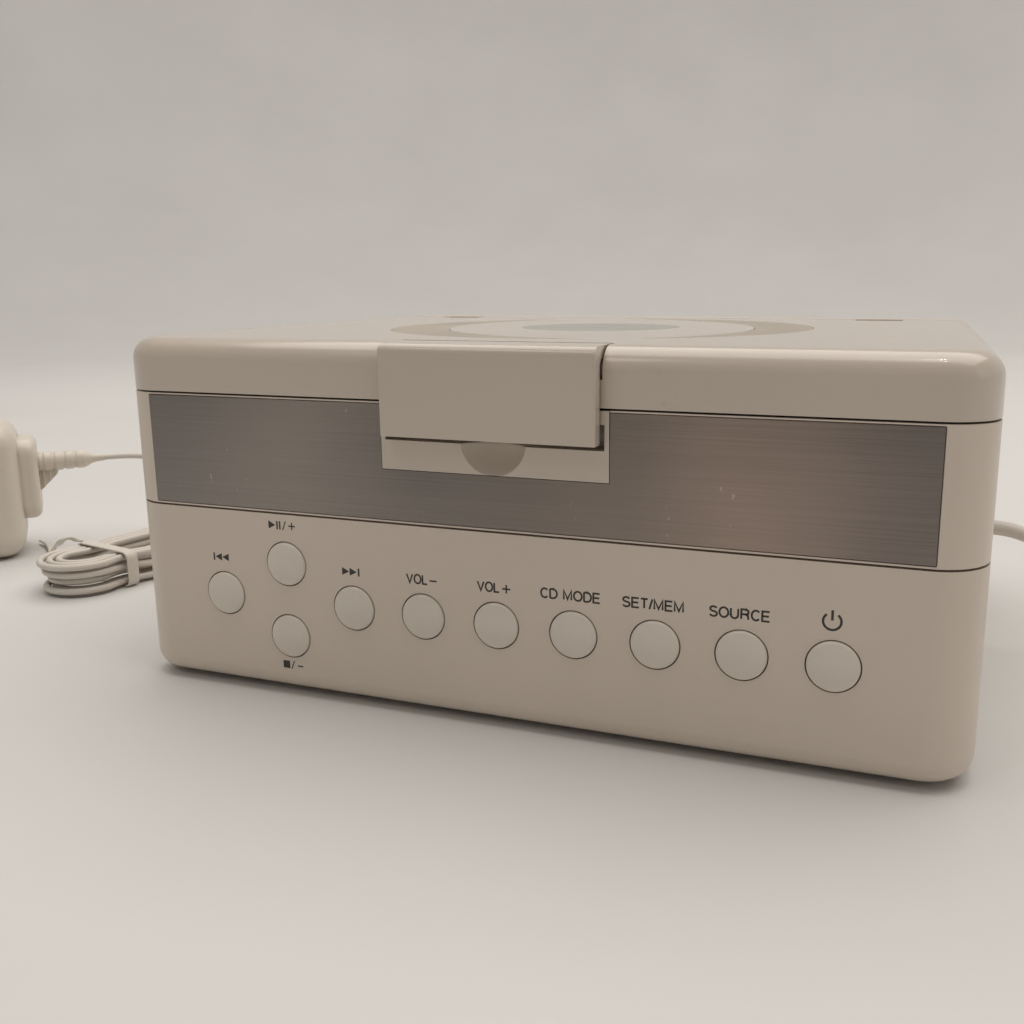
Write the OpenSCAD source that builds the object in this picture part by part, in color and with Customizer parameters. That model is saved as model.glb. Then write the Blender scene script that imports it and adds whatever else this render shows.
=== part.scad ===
// Wall mounted disc player, lying on its back as it stands on a table.
// X runs left to right, Y from the button side to the hinge side, Z up through the lid.
// The origin is under the middle of the player, at the soles of its feet.

/* [Case] */
// Width of the case
body_w = 200; // [196:1:220]
// Depth of the case, without the latch
body_d = 158; // [156:1:176]
// Height of the rear shell
rear_h = 44.3; // [44:0.1:56]
// Height of the middle frame
mid_h = 27.3; // [26.5:0.1:34]
// Height of the lid
lid_h = 12.6; // [12:0.1:15]
// Gap that shows as a seam between the case parts
seam = 0.4; // [0.2:0.1:0.8]
// Thickness of the case walls
wall = 2.4; // [2:0.1:3]
// Thickness of the rear shell's floor
floor_t = 2.6; // [2:0.1:3.4]
// Radius of the upright corners
corner_r = 11; // [9:0.5:14]
// Radius of the lid's rolled top edge
lid_roll = 5.3; // [4.5:0.1:8.5]
// Radius of the rolled edge round the back of the case
base_roll = 5; // [4:0.5:7]
// Height that the rubber feet stand proud
foot_h = 1.2; // [0.8:0.1:2.5]
// Radius of a rubber foot
foot_r = 6; // [4:0.5:8]

/* [Lid hinge] */
// Depth of the fixed rail behind the lid
rail_d = 12; // [11.5:0.5:14]
// Radius of the hinge pins
hinge_pin_r = 1.5; // [1:0.1:2]
// Length of a hinge pin
hinge_pin_l = 26; // [22:1:32]
// Width of a hinge ear on the rail
ear_w = 13; // [9:0.5:15]
// Distance of a hinge ear from the middle
ear_x = 72; // [50:1:74]
// Running gap round the lid's hinge edge
hinge_gap = 0.5; // [0.3:0.1:0.7]

/* [Latch] */
// Width of the latch
latch_w = 49; // [40:1:60]
// Height of the latch's front
latch_h = 20.1; // [19.6:0.1:20.6]
// How far the latch stands in front of the case
latch_proud = 3.5; // [3:0.1:4.5]
// Gap between the latch and the case behind it
latch_gap = 0.4; // [0.3:0.1:0.6]
// Distance of the latch pin behind the front face
latch_back = 7; // [7:0.1:7.4]
// Distance of the latch pin below the lid's top
latch_drop = 5.2; // [5:0.1:5.4]
// Thickness of the latch's top
latch_t = 2.6; // [2:0.1:3]
// Radius of the latch pin
latch_pin_r = 1; // [0.8:0.1:1.2]

/* [Front] */
// Width of the aluminium plate
plate_w = 180; // [170:1:184]
// Thickness of the aluminium plate
plate_t = 0.8; // [0.5:0.1:1.2]
// Width of the catch that the latch closes on
catch_w = 52.8; // [51:0.2:64]
// Height of the catch
catch_h = 15; // [14.5:0.1:18]
// Depth of the catch
catch_d = 7.5; // [7.2:0.1:8.5]
// Radius of the ball-shaped finger scoop
scoop_ball = 9.5; // [8.5:0.1:10.5]
// Distance of the scoop's ball centre in front of the face
scoop_out = 5.6; // [5.2:0.1:6.4]

/* [Buttons] */
// Distance between neighbouring buttons
button_pitch = 18; // [16:0.5:19]
// Radius of the button holes
button_hole_r = 5.5; // [4.5:0.1:6]
// Gap between a button and its hole
button_gap = 0.25; // [0.15:0.05:0.35]
// How far a button's dome stands proud
button_proud = 1.5; // [1.2:0.1:2.5]
// Height of the row of buttons above the case's underside
button_z = 23.3; // [21:0.1:25]
// Travel of a button
button_travel = 0.5; // [0.3:0.1:0.8]

/* [Disc bay] */
// Radius of the disc that the bay takes
disc_r = 60; // [60:0.5:61]
// Gap between the disc and the wall of its well
disc_gap = 2; // [1.5:0.1:2.5]
// Depth of the disc well below the deck
well_h = 10.6; // [9.5:0.1:12]
// Thickness of the deck
deck_t = 2; // [1.6:0.1:2.6]
// Height of the disc's rest above the floor of the well
disc_lift = 4; // [3.6:0.1:5]
// Radius of the hub's boss that centres the disc
hub_r = 7.4; // [7.3:0.05:7.45]
// Radius of the platform that the disc lies on
platform_r = 14.5; // [13:0.5:16]

/* [Disc drive] */
// Thickness of the drive's chassis plate
chassis_t = 1.6; // [1.2:0.1:2]
// Radius of the spindle motor's can
motor_r = 12; // [10:0.5:12.5]
// Height of the spindle motor's can
motor_h = 9; // [7:0.5:10]
// Distance of the lens from the spindle at rest
lens_start = 23; // [22.5:0.1:24]
// Travel of the pickup
sled_travel = 33; // [30:0.5:33]
// Radius of the guide rod
rod_r = 1.5; // [1.2:0.1:1.8]
// Module of the rack and its pinion
rack_module = 0.8; // [0.7:0.1:0.8]
// Teeth on the pinion that drives the rack
rack_teeth = 16; // [14:1:18]
// Module of the reduction gears
drive_module = 0.5; // [0.4:0.05:0.5]
// Teeth on the large reduction gear
wheel_teeth = 48; // [40:2:50]
// Teeth on the motor pinion
pinion_teeth = 12; // [12:1:14]

/* [Speakers] */
// Radius of a speaker's rim
speaker_r = 19; // [16:0.5:19.5]
// Depth of a speaker behind its rim
speaker_d = 20; // [16:0.5:24]

/* [Cords] */
// Diameter of the adapter's lead
lead_d = 2.2; // [2:0.05:2.25]
// Diameter of the aerial wire
wire_d = 1.8; // [1.6:0.05:1.85]
// Height of the wall adapter
adapter_h = 50; // [46:1:56]
// Length of the wall adapter
adapter_l = 50; // [44:1:60]
// Thickness of the wall adapter
adapter_w = 36; // [30:1:40]

/* [Hidden] */
$fn = 96;

// Colours
white = [0.86, 0.84, 0.8];
cap_white = [0.9, 0.88, 0.85];
steel = [0.62, 0.63, 0.65];
dark = [0.16, 0.16, 0.17];
rubber = [0.22, 0.22, 0.23];
green = [0.12, 0.34, 0.2];
tint = [0.5, 0.52, 0.48];

// Levels and faces of the case
front_y = -(body_d - latch_proud) / 2;
back_y = (body_d + latch_proud) / 2;
mid_y = (front_y + back_y) / 2;
z_base = foot_h;
z_rear = z_base + rear_h;
z_mid0 = z_rear + seam;
z_mid1 = z_mid0 + mid_h;
z_lid0 = z_mid1 + seam;
z_top = z_lid0 + lid_h;
half_w = body_w / 2;
fit = 0.1;
slack = 0.2;

// Hinge: the lid's far edge is nearly a half round about the hinge axis
hinge_r = lid_h / 2 + 0.3;
hinge_z = z_lid0 + lid_h / 2;
rail_y = back_y - rail_d;
hinge_lip = 5.3;
hinge_y = rail_y - hinge_lip;
ear_gap = 0.5;
ear_r = lid_h / 2 - 0.8;

// Latch: it swings about a pin near the top of the lid
pivot_y = front_y + latch_back;
pivot_z = z_top - latch_drop;
latch_z0 = z_top - latch_h;
notch_z = z_top - 6.8;
tongue_in = 13.1;
tongue_out = 15;
tongue_w = latch_w - 9;
heel = 0.8;

// Catch: its window starts under the latch and ends where the tongue can pass
catch_z0 = z_mid1 - catch_h;
window_z0 = latch_z0 - 1.3;
window_z1 = pivot_z - 10.8;
window_w = catch_w - 2;
scoop_x = 0.5;
scoop_z = window_z0 + 0.9;

// Aluminium plate
plate_z0 = z_mid0 + 0.6;
plate_z1 = z_mid1 - 0.5;

// Buttons: the fourth value of each is how far it stands above the row
row_z = z_base + button_z;
pair_rise = button_pitch / 2;
flange_r = button_hole_r + 0.8;
flange_t = 1.2;
stem_end = wall + 0.15 + flange_t + 2.5;
plunger_at = stem_end + button_travel + 0.1;
plunger_h = 0.9;
switch_at = plunger_at + plunger_h;
switch_h = 3.5;
board_at = switch_at + switch_h;
board_t = 1.6;
boss_r = 4;
screw_x = half_w - 12;
screw_y = body_d / 2 - 12;
board_side = 0.6;
board_half = screw_x - boss_r - board_side;
BUTTONS = [[-4, 0], [-3, 1], [-3, -1], [-2, 0], [-1, 0], [0, 0], [1, 0], [2, 0], [3, 0], [4, 0]];
BOARD_BOSSES = [[-4.5, 0.64], [4.5, 0.64], [-1.5, -0.7], [1.5, -0.7]];

// Disc bay and deck
deck_z1 = z_mid1 - 0.6;
deck_z0 = deck_z1 - deck_t;
well_r = disc_r + disc_gap;
well_floor1 = deck_z1 - well_h;
well_floor0 = well_floor1 - 2;
disc_z = well_floor1 + disc_lift;
ledge_w = 2.5;

// Disc drive, hung from the deck on four rubber bushes
chassis_z1 = well_floor0 - 3;
chassis_z0 = chassis_z1 - chassis_t;
chassis_x0 = -37;
chassis_x1 = 47;
chassis_y0 = -24;
chassis_back = 5.35;
chassis_y1 = back_y - wall - chassis_back;
BUSHES = [
  for (x = [chassis_x0 + 6, chassis_x1 - 6], y = [chassis_y0 + 7, chassis_y1 - 7]) [x, y]
];
bush_r = 3.5;
bush_flange = 1.4;
motor_z0 = chassis_z0 - motor_h;
shaft_r = 0.75;
sled_z1 = chassis_z0 - 0.9;
sled_z0 = sled_z1 - 6.5;
rod_x = -18;
rod_y0 = 6;
rail_x = 16;
rod_z = sled_z0 + 3.2;
rack_x = 22;
rack_z = sled_z0 + 1;
rack_h = 2.5;
rack_pitch_r = rack_module * rack_teeth / 2;
wheel_r = drive_module * wheel_teeth / 2;
pinion_r = drive_module * pinion_teeth / 2;
gear_x = rack_x + rack_pitch_r;
gear_y = 28;
gear_turn = -60;
sled_motor_x = gear_x + (wheel_r + pinion_r) * cos(gear_turn);
sled_motor_y = gear_y + (wheel_r + pinion_r) * sin(gear_turn);
sled_motor_r = 7;
wheel_z = sled_z0 - 2.7;
wheel_h = 2;
stud_r = 1;

// Things inside the rear shell
z_floor = z_base + floor_t;
board_z = z_floor + 5.2;
main_w = 136;
main_d = 76;
main_y = -6;
speaker_y = front_y + 41.25;
speaker_z = 25;
side_in = half_w - wall;
aerial_y = 2.8;
aerial_z = 36.2;
audio_y = 26;
audio_z = 30;
dc_y = 30;
dc_z = 20;
jack_rise = 6.6;
jack_l = 14;
jack_x = side_in - jack_l - 0.2;
audio_r = 1.8;
SCREWS = [[-1, -1], [1, -1], [-1, 1], [1, 1]];
key_x = 50;
key_y = 58;
key_r = 4.25;
key_slot_r = 2.2;
key_slot_l = 9;

// Lid: the pale crescents and the round window are let into its top
beam = 9;
window_r = 22;
crescent_r = 58;
crescent_cut_r = 63;
crescent_shift = 21;
crescent_turn = 20;
window_t = 1.2;

// Cords
lead_r = lead_d / 2;
wire_r = wire_d / 2;
plug_x = -half_w - 0.2;
relief_x = -half_w - 5;
boot_x = -210;
boot_y = 26.5;
boot_z = 33;
boot_l = 23;
adapter_turn = 46.6;
shoulder = 8;
gland_x = half_w + 3;

// Hanks: stadium-shaped loops of two turns a layer, drawn in at the tie.
// Each is its middle, turn, cord diameter, half run, inner radius and number of layers.
LEAD_HANK = [[-168, -9], -102, lead_d, 16.5, 6.6, 4];
AERIAL_HANK = [[150, 40], 86, wire_d, 20, 5.4, 2];
turn_gap = 0.6;
layer_gap = 0.5;
waist_x = 8;
waist_in = 1.6;
tie_t = 0.7;
tie_w = 4;

// The lead from the plug's relief to its hank
RUN = [
  [-117, 29.6, 18.6], [-126, 30.6, 13], [-134, 31, 6.6], [-141, 29, 2.4], [-147.5, 22, 1.6]
];
// The lead from its hank over the table, and up to the adapter's boot
TAIL = [
  [-178, 22, 7.4], [-177.5, 34, 2.4], [-175, 46, 1.2], [-171, 56, 1.2], [-172, 65, 1.2],
  [-179, 68, 2.2], [-185, 62.5, 8], [-188.5, 55.5, 16.5], [-192, 48.5, 25], [-197, 41, 30.6],
  [-203.3, 34, 32.6]
];
// The tail of the tie, from the hank to the adapter's foot
TIE_TAIL = [
  [-182.9, -14, 11.8], [-188, -15, 12.6], [-195, -13, 9.6], [-202, -9, 5.4], [-210, -3, 2.4],
  [-218, 4, 1.2], [-225, 9, 1.2], [-232, 12, 1.2]
];
// The aerial wire from its gland down to the table, and its free end past the hank
AERIAL_RUN = [
  [116, 2.8, 33.6], [124, 3.6, 29], [131, 7, 20.5], [135.5, 12, 10], [137.4, 17, 3.4]
];
AERIAL_TAIL = [[159.3, 8, 2.6], [157.6, -2, 1], [152.6, -10, 1], [145, -14, 1], [137, -15, 1]];

// Solid block with upright corners of radius rc and its top edge rolled with radius rt
module roll_profile(half, h, rt) {
  square([half - rt, h]);
  square([half, h - rt]);
  translate([half - rt, h - rt])
    intersection() {
      circle(rt);
      square(rt);
    }
}

module rolled_block(w, d, h, rc, rt) {
  rotate([90, 0, 90])
    linear_extrude(w - 2 * rc, center = true)
      for (side = [0, 1])
        mirror([side, 0])
          roll_profile(d / 2, h, rt);
  rotate([90, 0, 0])
    linear_extrude(d - 2 * rc, center = true)
      for (side = [0, 1])
        mirror([side, 0])
          roll_profile(w / 2, h, rt);
  for (turn = [0 : 3]) {
    sx = turn == 0 || turn == 3 ? 1 : -1;
    sy = turn < 2 ? 1 : -1;
    translate([sx * (w / 2 - rc), sy * (d / 2 - rc), 0])
      rotate(90 * turn)
        rotate_extrude(angle = 90)
          roll_profile(rc, h, rt);
  }
}

module round_rect(w, d, r) {
  square([w - 2 * r, d], center = true);
  square([w, d - 2 * r], center = true);
  for (sx = [-1, 1], sy = [-1, 1])
    translate([sx * (w / 2 - r), sy * (d / 2 - r)])
      circle(r);
}

// Box given by its lowest and highest corner
module span(a, b) {
  translate(a)
    cube(b - a);
}

// Cylinders along X and Y, from one coordinate to another
module rod_along_x(x0, x1, y, z, r) {
  translate([x0, y, z])
    rotate([0, 90, 0])
      cylinder(h = x1 - x0, r = r);
}

module rod_along_y(y0, y1, x, z, r) {
  translate([x, y1, z])
    rotate([90, 0, 0])
      cylinder(h = y1 - y0, r = r);
}

module rod_up(x, y, z0, z1, r) {
  translate([x, y, z0])
    cylinder(h = z1 - z0, r = r);
}

// Drawing in the YZ plane, pushed out along X about the middle
module across(w) {
  rotate([90, 0, 90])
    linear_extrude(w, center = true)
      children();
}

// Walls of the case at a level: a rounded tube
module case_ring(z0, z1, t) {
  translate([0, mid_y, z0])
    linear_extrude(z1 - z0)
      difference() {
        round_rect(body_w, body_d, corner_r);
        round_rect(body_w - 2 * t, body_d - 2 * t, corner_r - t);
      }
}

// Where button number i of BUTTONS sits
function button_x(i) = 0.5 + BUTTONS[i][0] * button_pitch;
function button_level(i) = row_z + BUTTONS[i][1] * pair_rise;

module at_screws() {
  for (s = SCREWS)
    translate([s[0] * screw_x, mid_y + s[1] * screw_y, 0])
      children();
}

module rear_shell() color(white) {
  difference() {
    union() {
      difference() {
        translate([0, mid_y, z_rear])
          mirror([0, 0, 1])
            rolled_block(body_w, body_d, rear_h, corner_r, base_roll);
        translate([0, mid_y, z_floor])
          linear_extrude(rear_h)
            round_rect(body_w - 2 * wall, body_d - 2 * wall, corner_r - wall);
      }
      at_screws()
        rod_up(0, 0, z_floor - 1, z_rear, boss_r);
      for (s = SCREWS)
        span([s[0] > 0 ? screw_x : -side_in - 1, mid_y + s[1] * screw_y - 1, z_floor - 1],
          [s[0] > 0 ? side_in + 1 : -screw_x, mid_y + s[1] * screw_y + 1, z_rear - 2]);
      for (b = BOARD_BOSSES)
        rod_along_y(front_y + wall - 0.5, front_y + board_at, 0.5 + b[0] * button_pitch,
          row_z + b[1] * button_pitch, 3);
      for (sx = [-1, 1], sy = [-1, 1])
        rod_up(sx * (main_w / 2 - 6), main_y + sy * (main_d / 2 - 6), z_floor - 1, board_z, 3.5);
      for (y = [-8, 8]) {
        rod_up(-jack_x + 3, dc_y + y, z_floor - 1, dc_z - jack_rise - board_t, 2.5);
        rod_up(jack_x - 3, audio_y + y, z_floor - 1, audio_z - jack_rise - board_t, 2.5);
      }
      for (sx = [-1, 1])
        keyhole_guard(sx * key_x);
    }
    at_screws() {
      rod_up(0, 0, -1, z_base + 3, 3.4);
      rod_up(0, 0, -1, z_rear + 1, 1.7);
    }
    for (i = [0 : len(BUTTONS) - 1])
      rod_along_y(front_y - 1, front_y + wall + 0.1, button_x(i), button_level(i), button_hole_r);
    for (b = BOARD_BOSSES)
      rod_along_y(front_y + wall + 1, front_y + board_at + 1, 0.5 + b[0] * button_pitch,
        row_z + b[1] * button_pitch, 1);
    for (sx = [-1, 1])
      translate([sx * key_x, key_y, -1]) {
        cylinder(h = floor_t + z_base + 2, r = key_r);
        translate([-key_slot_r, 0, 0])
          cube([2 * key_slot_r, key_slot_l, floor_t + z_base + 2]);
        translate([0, key_slot_l, 0])
          cylinder(h = floor_t + z_base + 2, r = key_slot_r);
      }
    for (sx = [-1, 1], k = [-3 : 3])
      translate([sx * (half_w - wall / 2), speaker_y, speaker_z + 4 * k])
        cube([wall + 1, 2 * sqrt(196 - 16 * k * k), 1.6], center = true);
    rod_along_x(-half_w - 1, -side_in + 0.1, dc_y, dc_z, 4.2);
    rod_along_x(side_in - 0.1, half_w + 1, audio_y, audio_z, 3.1);
    rod_along_x(side_in - 0.1, half_w + 1, aerial_y, aerial_z, 2.1);
  }
}

// Box over a keyhole, so that a nail's head stays out of the electronics
module keyhole_guard(x) {
  difference() {
    span([x - 7.2, key_y - 7.2, z_floor - 0.5], [x + 7.2, key_y + 15, z_floor + 7.5]);
    span([x - 6, key_y - 6, z_floor - 1], [x + 6, key_y + 13.8, z_floor + 6.3]);
  }
}

module mid_frame() color(white) {
  difference() {
    union() {
      case_ring(z_mid0, z_mid1, wall);
      case_ring(deck_z0 - 2, deck_z0, wall + ledge_w);
      at_screws()
        rod_up(0, 0, z_mid0, deck_z0 - 2, boss_r);
      for (s = SCREWS)
        span([s[0] > 0 ? screw_x : -side_in - 1, mid_y + s[1] * screw_y - 1, z_mid0],
          [s[0] > 0 ? side_in + 1 : -screw_x, mid_y + s[1] * screw_y + 1, deck_z0 - 1]);
    }
    span([-plate_w / 2 - fit, front_y - 1, plate_z0 - fit],
      [plate_w / 2 + fit, front_y + plate_t, plate_z1 + fit]);
    span([-catch_w / 2 - fit, front_y - 1, catch_z0 - fit],
      [catch_w / 2 + fit, front_y + catch_d + fit, z_mid1 + 1]);
    at_screws()
      rod_up(0, 0, z_mid0 - 1, z_mid0 + 14, 1.35);
  }
}

module deck() color(white) {
  difference() {
    union() {
      translate([0, mid_y, deck_z0])
        linear_extrude(deck_t)
          round_rect(2 * side_in - 2 * fit, body_d - 2 * wall - 2 * fit, corner_r - wall - fit);
      rod_up(0, 0, well_floor0, deck_z1, well_r + 2);
      for (b = BUSHES)
        rod_up(b[0], b[1], chassis_z1 + bush_flange, deck_z0 + 1, 3);
    }
    rod_up(0, 0, well_floor1, deck_z1 + 1, well_r);
    rod_up(0, 0, well_floor0 - 1, well_floor1 + 1, platform_r + 2.5);
    span([-10, 0, well_floor0 - 1], [10, lens_start + sled_travel + 5.5, well_floor1 + 1]);
    span([-catch_w / 2 - slack, front_y, catch_z0 - slack],
      [catch_w / 2 + slack, front_y + catch_d + slack, deck_z1 + 1]);
    for (b = BUSHES)
      rod_up(b[0], b[1], chassis_z1, chassis_z1 + 10, 0.9);
    for (side = [-1, 1])
      rod_up(side * (well_r - 2), 0, well_floor1, deck_z1 + 1, 9);
  }
  for (side = [-1, 1])
    difference() {
      rod_up(side * (well_r - 2), 0, well_floor0, deck_z0 + 0.5, 11);
      rod_up(side * (well_r - 2), 0, well_floor1, deck_z1 + 1, 9);
      rod_up(0, 0, well_floor0 - 1, deck_z1 + 1, well_r + 1);
    }
}

// What the lid and the rail behind it are cut from
module top_block() {
  translate([0, mid_y, z_lid0])
    rolled_block(body_w, body_d, lid_h, corner_r, lid_roll);
}

module hinge_rail() color(white) {
  difference() {
    union() {
      difference() {
        top_block();
        span([-half_w - 1, front_y - 1, z_lid0 - 1], [half_w + 1, rail_y, z_top + 1]);
        rod_along_x(-half_w - 1, half_w + 1, hinge_y, hinge_z, hinge_r + hinge_gap);
      }
      translate([0, mid_y, deck_z1])
        linear_extrude(seam + 1.2)
          intersection() {
            round_rect(body_w - 2 * wall - 1, body_d - 2 * wall - 1, corner_r - wall - 0.5);
            translate([-half_w, rail_y + 2.2 - mid_y])
              square([body_w, rail_d]);
          }
      for (side = [-1, 1])
        translate([side * ear_x - ear_w / 2, 0, 0]) {
          rod_along_x(0, ear_w, hinge_y, hinge_z, ear_r);
          span([0, hinge_y, hinge_z - ear_r], [ear_w, rail_y + 3, hinge_z + ear_r]);
        }
    }
    for (side = [-1, 1])
      rod_along_x(side * ear_x - ear_w, side * ear_x + ear_w, hinge_y, hinge_z, hinge_pin_r);
  }
}

module hinge_pins() color(steel)
  for (side = [-1, 1])
    rod_along_x(side * ear_x - hinge_pin_l / 2, side * ear_x + hinge_pin_l / 2, hinge_y, hinge_z,
      hinge_pin_r);

module trim_plate() color(steel)
  difference() {
    span([-plate_w / 2, front_y, plate_z0], [plate_w / 2, front_y + plate_t, plate_z1]);
    span([-catch_w / 2 - fit, front_y - 1, catch_z0 - fit],
      [catch_w / 2 + fit, front_y + plate_t + 1, plate_z1 + 1]);
  }

module catch_frame() color(white)
  difference() {
    span([-catch_w / 2, front_y, catch_z0], [catch_w / 2, front_y + catch_d, z_mid1 - 0.1]);
    span([-window_w / 2, front_y - 1, window_z0],
      [window_w / 2, front_y + catch_d - 1.2, window_z1]);
    translate([scoop_x, front_y - scoop_out, scoop_z])
      sphere(scoop_ball);
  }

module rubber_feet() color(rubber)
  for (sx = [-1, 1], sy = [-1, 1])
    rod_up(sx * (half_w - 26), mid_y + sy * (body_d / 2 - 16), 0, z_base, foot_r);

module case_screws() color(steel)
  at_screws() {
    rod_up(0, 0, z_base + 0.8, z_base + 3, 3);
    rod_up(0, 0, z_base + 2.9, z_mid0 + 12, 1.5);
  }

// Button board, main board and the two little boards that carry the sockets
module circuit_boards() color(green) {
  difference() {
    span([-board_half, front_y + board_at, z_floor + 1.2],
      [board_half, front_y + board_at + board_t, z_rear - 2]);
    for (b = BOARD_BOSSES)
      rod_along_y(front_y + board_at - 1, front_y + board_at + board_t + 1,
        0.5 + b[0] * button_pitch, row_z + b[1] * button_pitch, 1.5);
  }
  span([-main_w / 2, main_y - main_d / 2, board_z],
    [main_w / 2, main_y + main_d / 2, board_z + board_t]);
  span([-side_in + 1, dc_y - 12, dc_z - jack_rise - board_t],
    [-jack_x + 6, dc_y + 12, dc_z - jack_rise]);
  span([jack_x - 6, audio_y - 12, audio_z - jack_rise - board_t],
    [side_in - 1, audio_y + 12, audio_z - jack_rise]);
}

module tact_switches() color(dark)
  for (i = [0 : len(BUTTONS) - 1])
    translate([button_x(i), front_y, button_level(i)]) {
      span([-3, switch_at, -3], [3, board_at, 3]);
      rod_along_y(plunger_at, switch_at + 0.1, 0, 0, 1.6);
    }

// Screws of the button board, and the screws that hold the drive on its bushes
module small_screws() color(steel) {
  for (b = BOARD_BOSSES)
    translate([0.5 + b[0] * button_pitch, front_y + board_at, row_z + b[1] * button_pitch]) {
      rod_along_y(board_t, board_t + 1.6, 0, 0, 2.6);
      rod_along_y(-6, board_t + 0.1, 0, 0, 1.2);
    }
  for (b = BUSHES)
    translate([b[0], b[1], 0]) {
      rod_up(0, 0, chassis_z0 - bush_flange - 1.4, chassis_z0 - bush_flange, 2.8);
      rod_up(0, 0, chassis_z0 - bush_flange - 0.1, chassis_z1 + bush_flange + 7, 1.05);
    }
}

// Chips, capacitors and coils on the main board
module board_parts() color(dark) {
  top = board_z + board_t;
  for (c = [[-40, -20, 14, 14, 2], [-8, -22, 20, 10, 2.4], [26, -18, 10, 8, 2], [44, 4, 12, 20, 9],
      [-16, 6, 8, 6, 1.8], [8, 2, 7, 7, 1.6]])
    span([c[0] - c[2] / 2, c[1] - c[3] / 2, top], [c[0] + c[2] / 2, c[1] + c[3] / 2, top + c[4]]);
  for (c = [[-56, 14, 5, 14], [-44, 18, 4, 11], [-32, 16, 4, 11], [56, -24, 5, 13], [50, -34, 3, 8],
      [24, 18, 3, 8], [-56, -32, 3, 8]])
    rod_up(c[0], c[1], top, top + c[3], c[2]);
}

module dc_jack() color(dark)
  difference() {
    union() {
      span([-side_in + 0.2, dc_y - 4.8, dc_z - jack_rise], [-jack_x, dc_y + 4.8, dc_z + 5]);
      rod_along_x(-half_w + 0.3, -side_in + 0.3, dc_y, dc_z, 4);
    }
    difference() {
      rod_along_x(-half_w - 1, -jack_x - 3, dc_y, dc_z, 2.85);
      rod_along_x(-half_w + 1.2, -jack_x - 2, dc_y, dc_z, 0.95);
    }
  }

module audio_jack() color(dark)
  difference() {
    union() {
      span([jack_x, audio_y - 4, audio_z - jack_rise], [side_in - 0.2, audio_y + 4, audio_z + 4]);
      rod_along_x(side_in - 0.3, half_w - 0.3, audio_y, audio_z, 3);
    }
    rod_along_x(jack_x + 0.8, half_w + 1, audio_y, audio_z, audio_r);
  }

module at_speakers() {
  for (side = [0, 1])
    mirror([side, 0, 0])
      translate([side_in - 0.3, speaker_y, speaker_z])
        rotate([0, -90, 0])
          children();
}

module speaker_frames() color(dark)
  at_speakers() {
    difference() {
      cylinder(h = 3, r = speaker_r);
      translate([0, 0, -1])
        cylinder(h = 6, r = speaker_r - 3);
    }
    difference() {
      translate([0, 0, 2.9])
        cylinder(h = speaker_d - 9, r1 = speaker_r - 1, r2 = 12);
      translate([0, 0, 2.8])
        cylinder(h = speaker_d - 10, r1 = speaker_r - 3, r2 = 10.5);
    }
    translate([0, 0, speaker_d - 8])
      cylinder(h = 8, r = 12);
  }

module speaker_cones() color(dark)
  at_speakers() {
    difference() {
      translate([0, 0, 1])
        cylinder(h = 7, r1 = speaker_r - 3.2, r2 = 7);
      translate([0, 0, 0.2])
        cylinder(h = 7, r1 = speaker_r - 3.2, r2 = 7);
    }
    intersection() {
      translate([0, 0, 12])
        sphere(8.5);
      translate([0, 0, 3.6])
        cylinder(h = 4, r = 6);
    }
  }

module mech_chassis() color(steel) {
  difference() {
    span([chassis_x0, chassis_y0, chassis_z0], [chassis_x1, chassis_y1, chassis_z1]);
    for (b = BUSHES)
      rod_up(b[0], b[1], chassis_z0 - 1, chassis_z1 + 1, 2.4);
    rod_up(0, 0, chassis_z0 - 1, chassis_z1 + 1, 6);
    span([-7, lens_start - 7, chassis_z0 - 1], [7, lens_start + sled_travel + 7, chassis_z1 + 1]);
    rod_up(gear_x, gear_y, chassis_z0 - 1, chassis_z1 + 1, stud_r);
  }
  for (x = [rod_x, rail_x], y = [rod_y0 + 1, chassis_y1 - 3])
    difference() {
      span([x - 3, y, rod_z - 2.6], [x + 3, y + 3, chassis_z0 + 0.1]);
      rod_along_y(y - 1, y + 4, x, rod_z, rod_r);
    }
}

module damper_bushes() color(rubber)
  for (b = BUSHES)
    translate([b[0], b[1], 0])
      difference() {
        union() {
          rod_up(0, 0, chassis_z0 - bush_flange, chassis_z0, bush_r);
          rod_up(0, 0, chassis_z0 - 0.1, chassis_z1 + 0.1, 2.4);
          rod_up(0, 0, chassis_z1, chassis_z1 + bush_flange, bush_r);
        }
        rod_up(0, 0, chassis_z0 - 5, chassis_z1 + 5, 1.1);
      }

module spindle_motor() color(steel)
  difference() {
    union() {
      rod_up(0, 0, motor_z0, chassis_z0, motor_r);
      rod_up(0, 0, motor_z0 - 1, chassis_z1 + 0.4, 3);
    }
    rod_up(0, 0, motor_z0 - 0.4, chassis_z1 + 2, shaft_r + 0.05);
  }

// Guide rod and rail of the pickup, and the stud that the drive gear turns on
module mech_rods() color(steel) {
  for (x = [rod_x, rail_x])
    rod_along_y(rod_y0, chassis_y1 + 1, x, rod_z, rod_r);
  rod_up(gear_x, gear_y, wheel_z - 1.5, chassis_z1, stud_r);
  rod_up(gear_x, gear_y, wheel_z - 1.5, wheel_z - 0.6, 2);
}

module sled_motor() color(steel) {
  difference() {
    rod_up(sled_motor_x, sled_motor_y, wheel_z + wheel_h + 0.8, chassis_z0, sled_motor_r);
    rod_up(sled_motor_x, sled_motor_y, wheel_z, chassis_z0 - 1, shaft_r + 0.05);
  }
}

// Lid: a thin shell with a solid beam along the hinge
module lid_blank(inset, drop) {
  intersection() {
    translate([0, mid_y, z_lid0 - drop])
      rolled_block(body_w - 2 * inset, body_d - 2 * inset, lid_h - inset + drop,
        corner_r - inset, lid_roll - inset);
    children();
  }
}

module lid_cavity() {
  lid_blank(2.2, 1)
    span([-half_w, front_y, z_lid0 - 1], [half_w, hinge_y - beam, z_top]);
}

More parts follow.
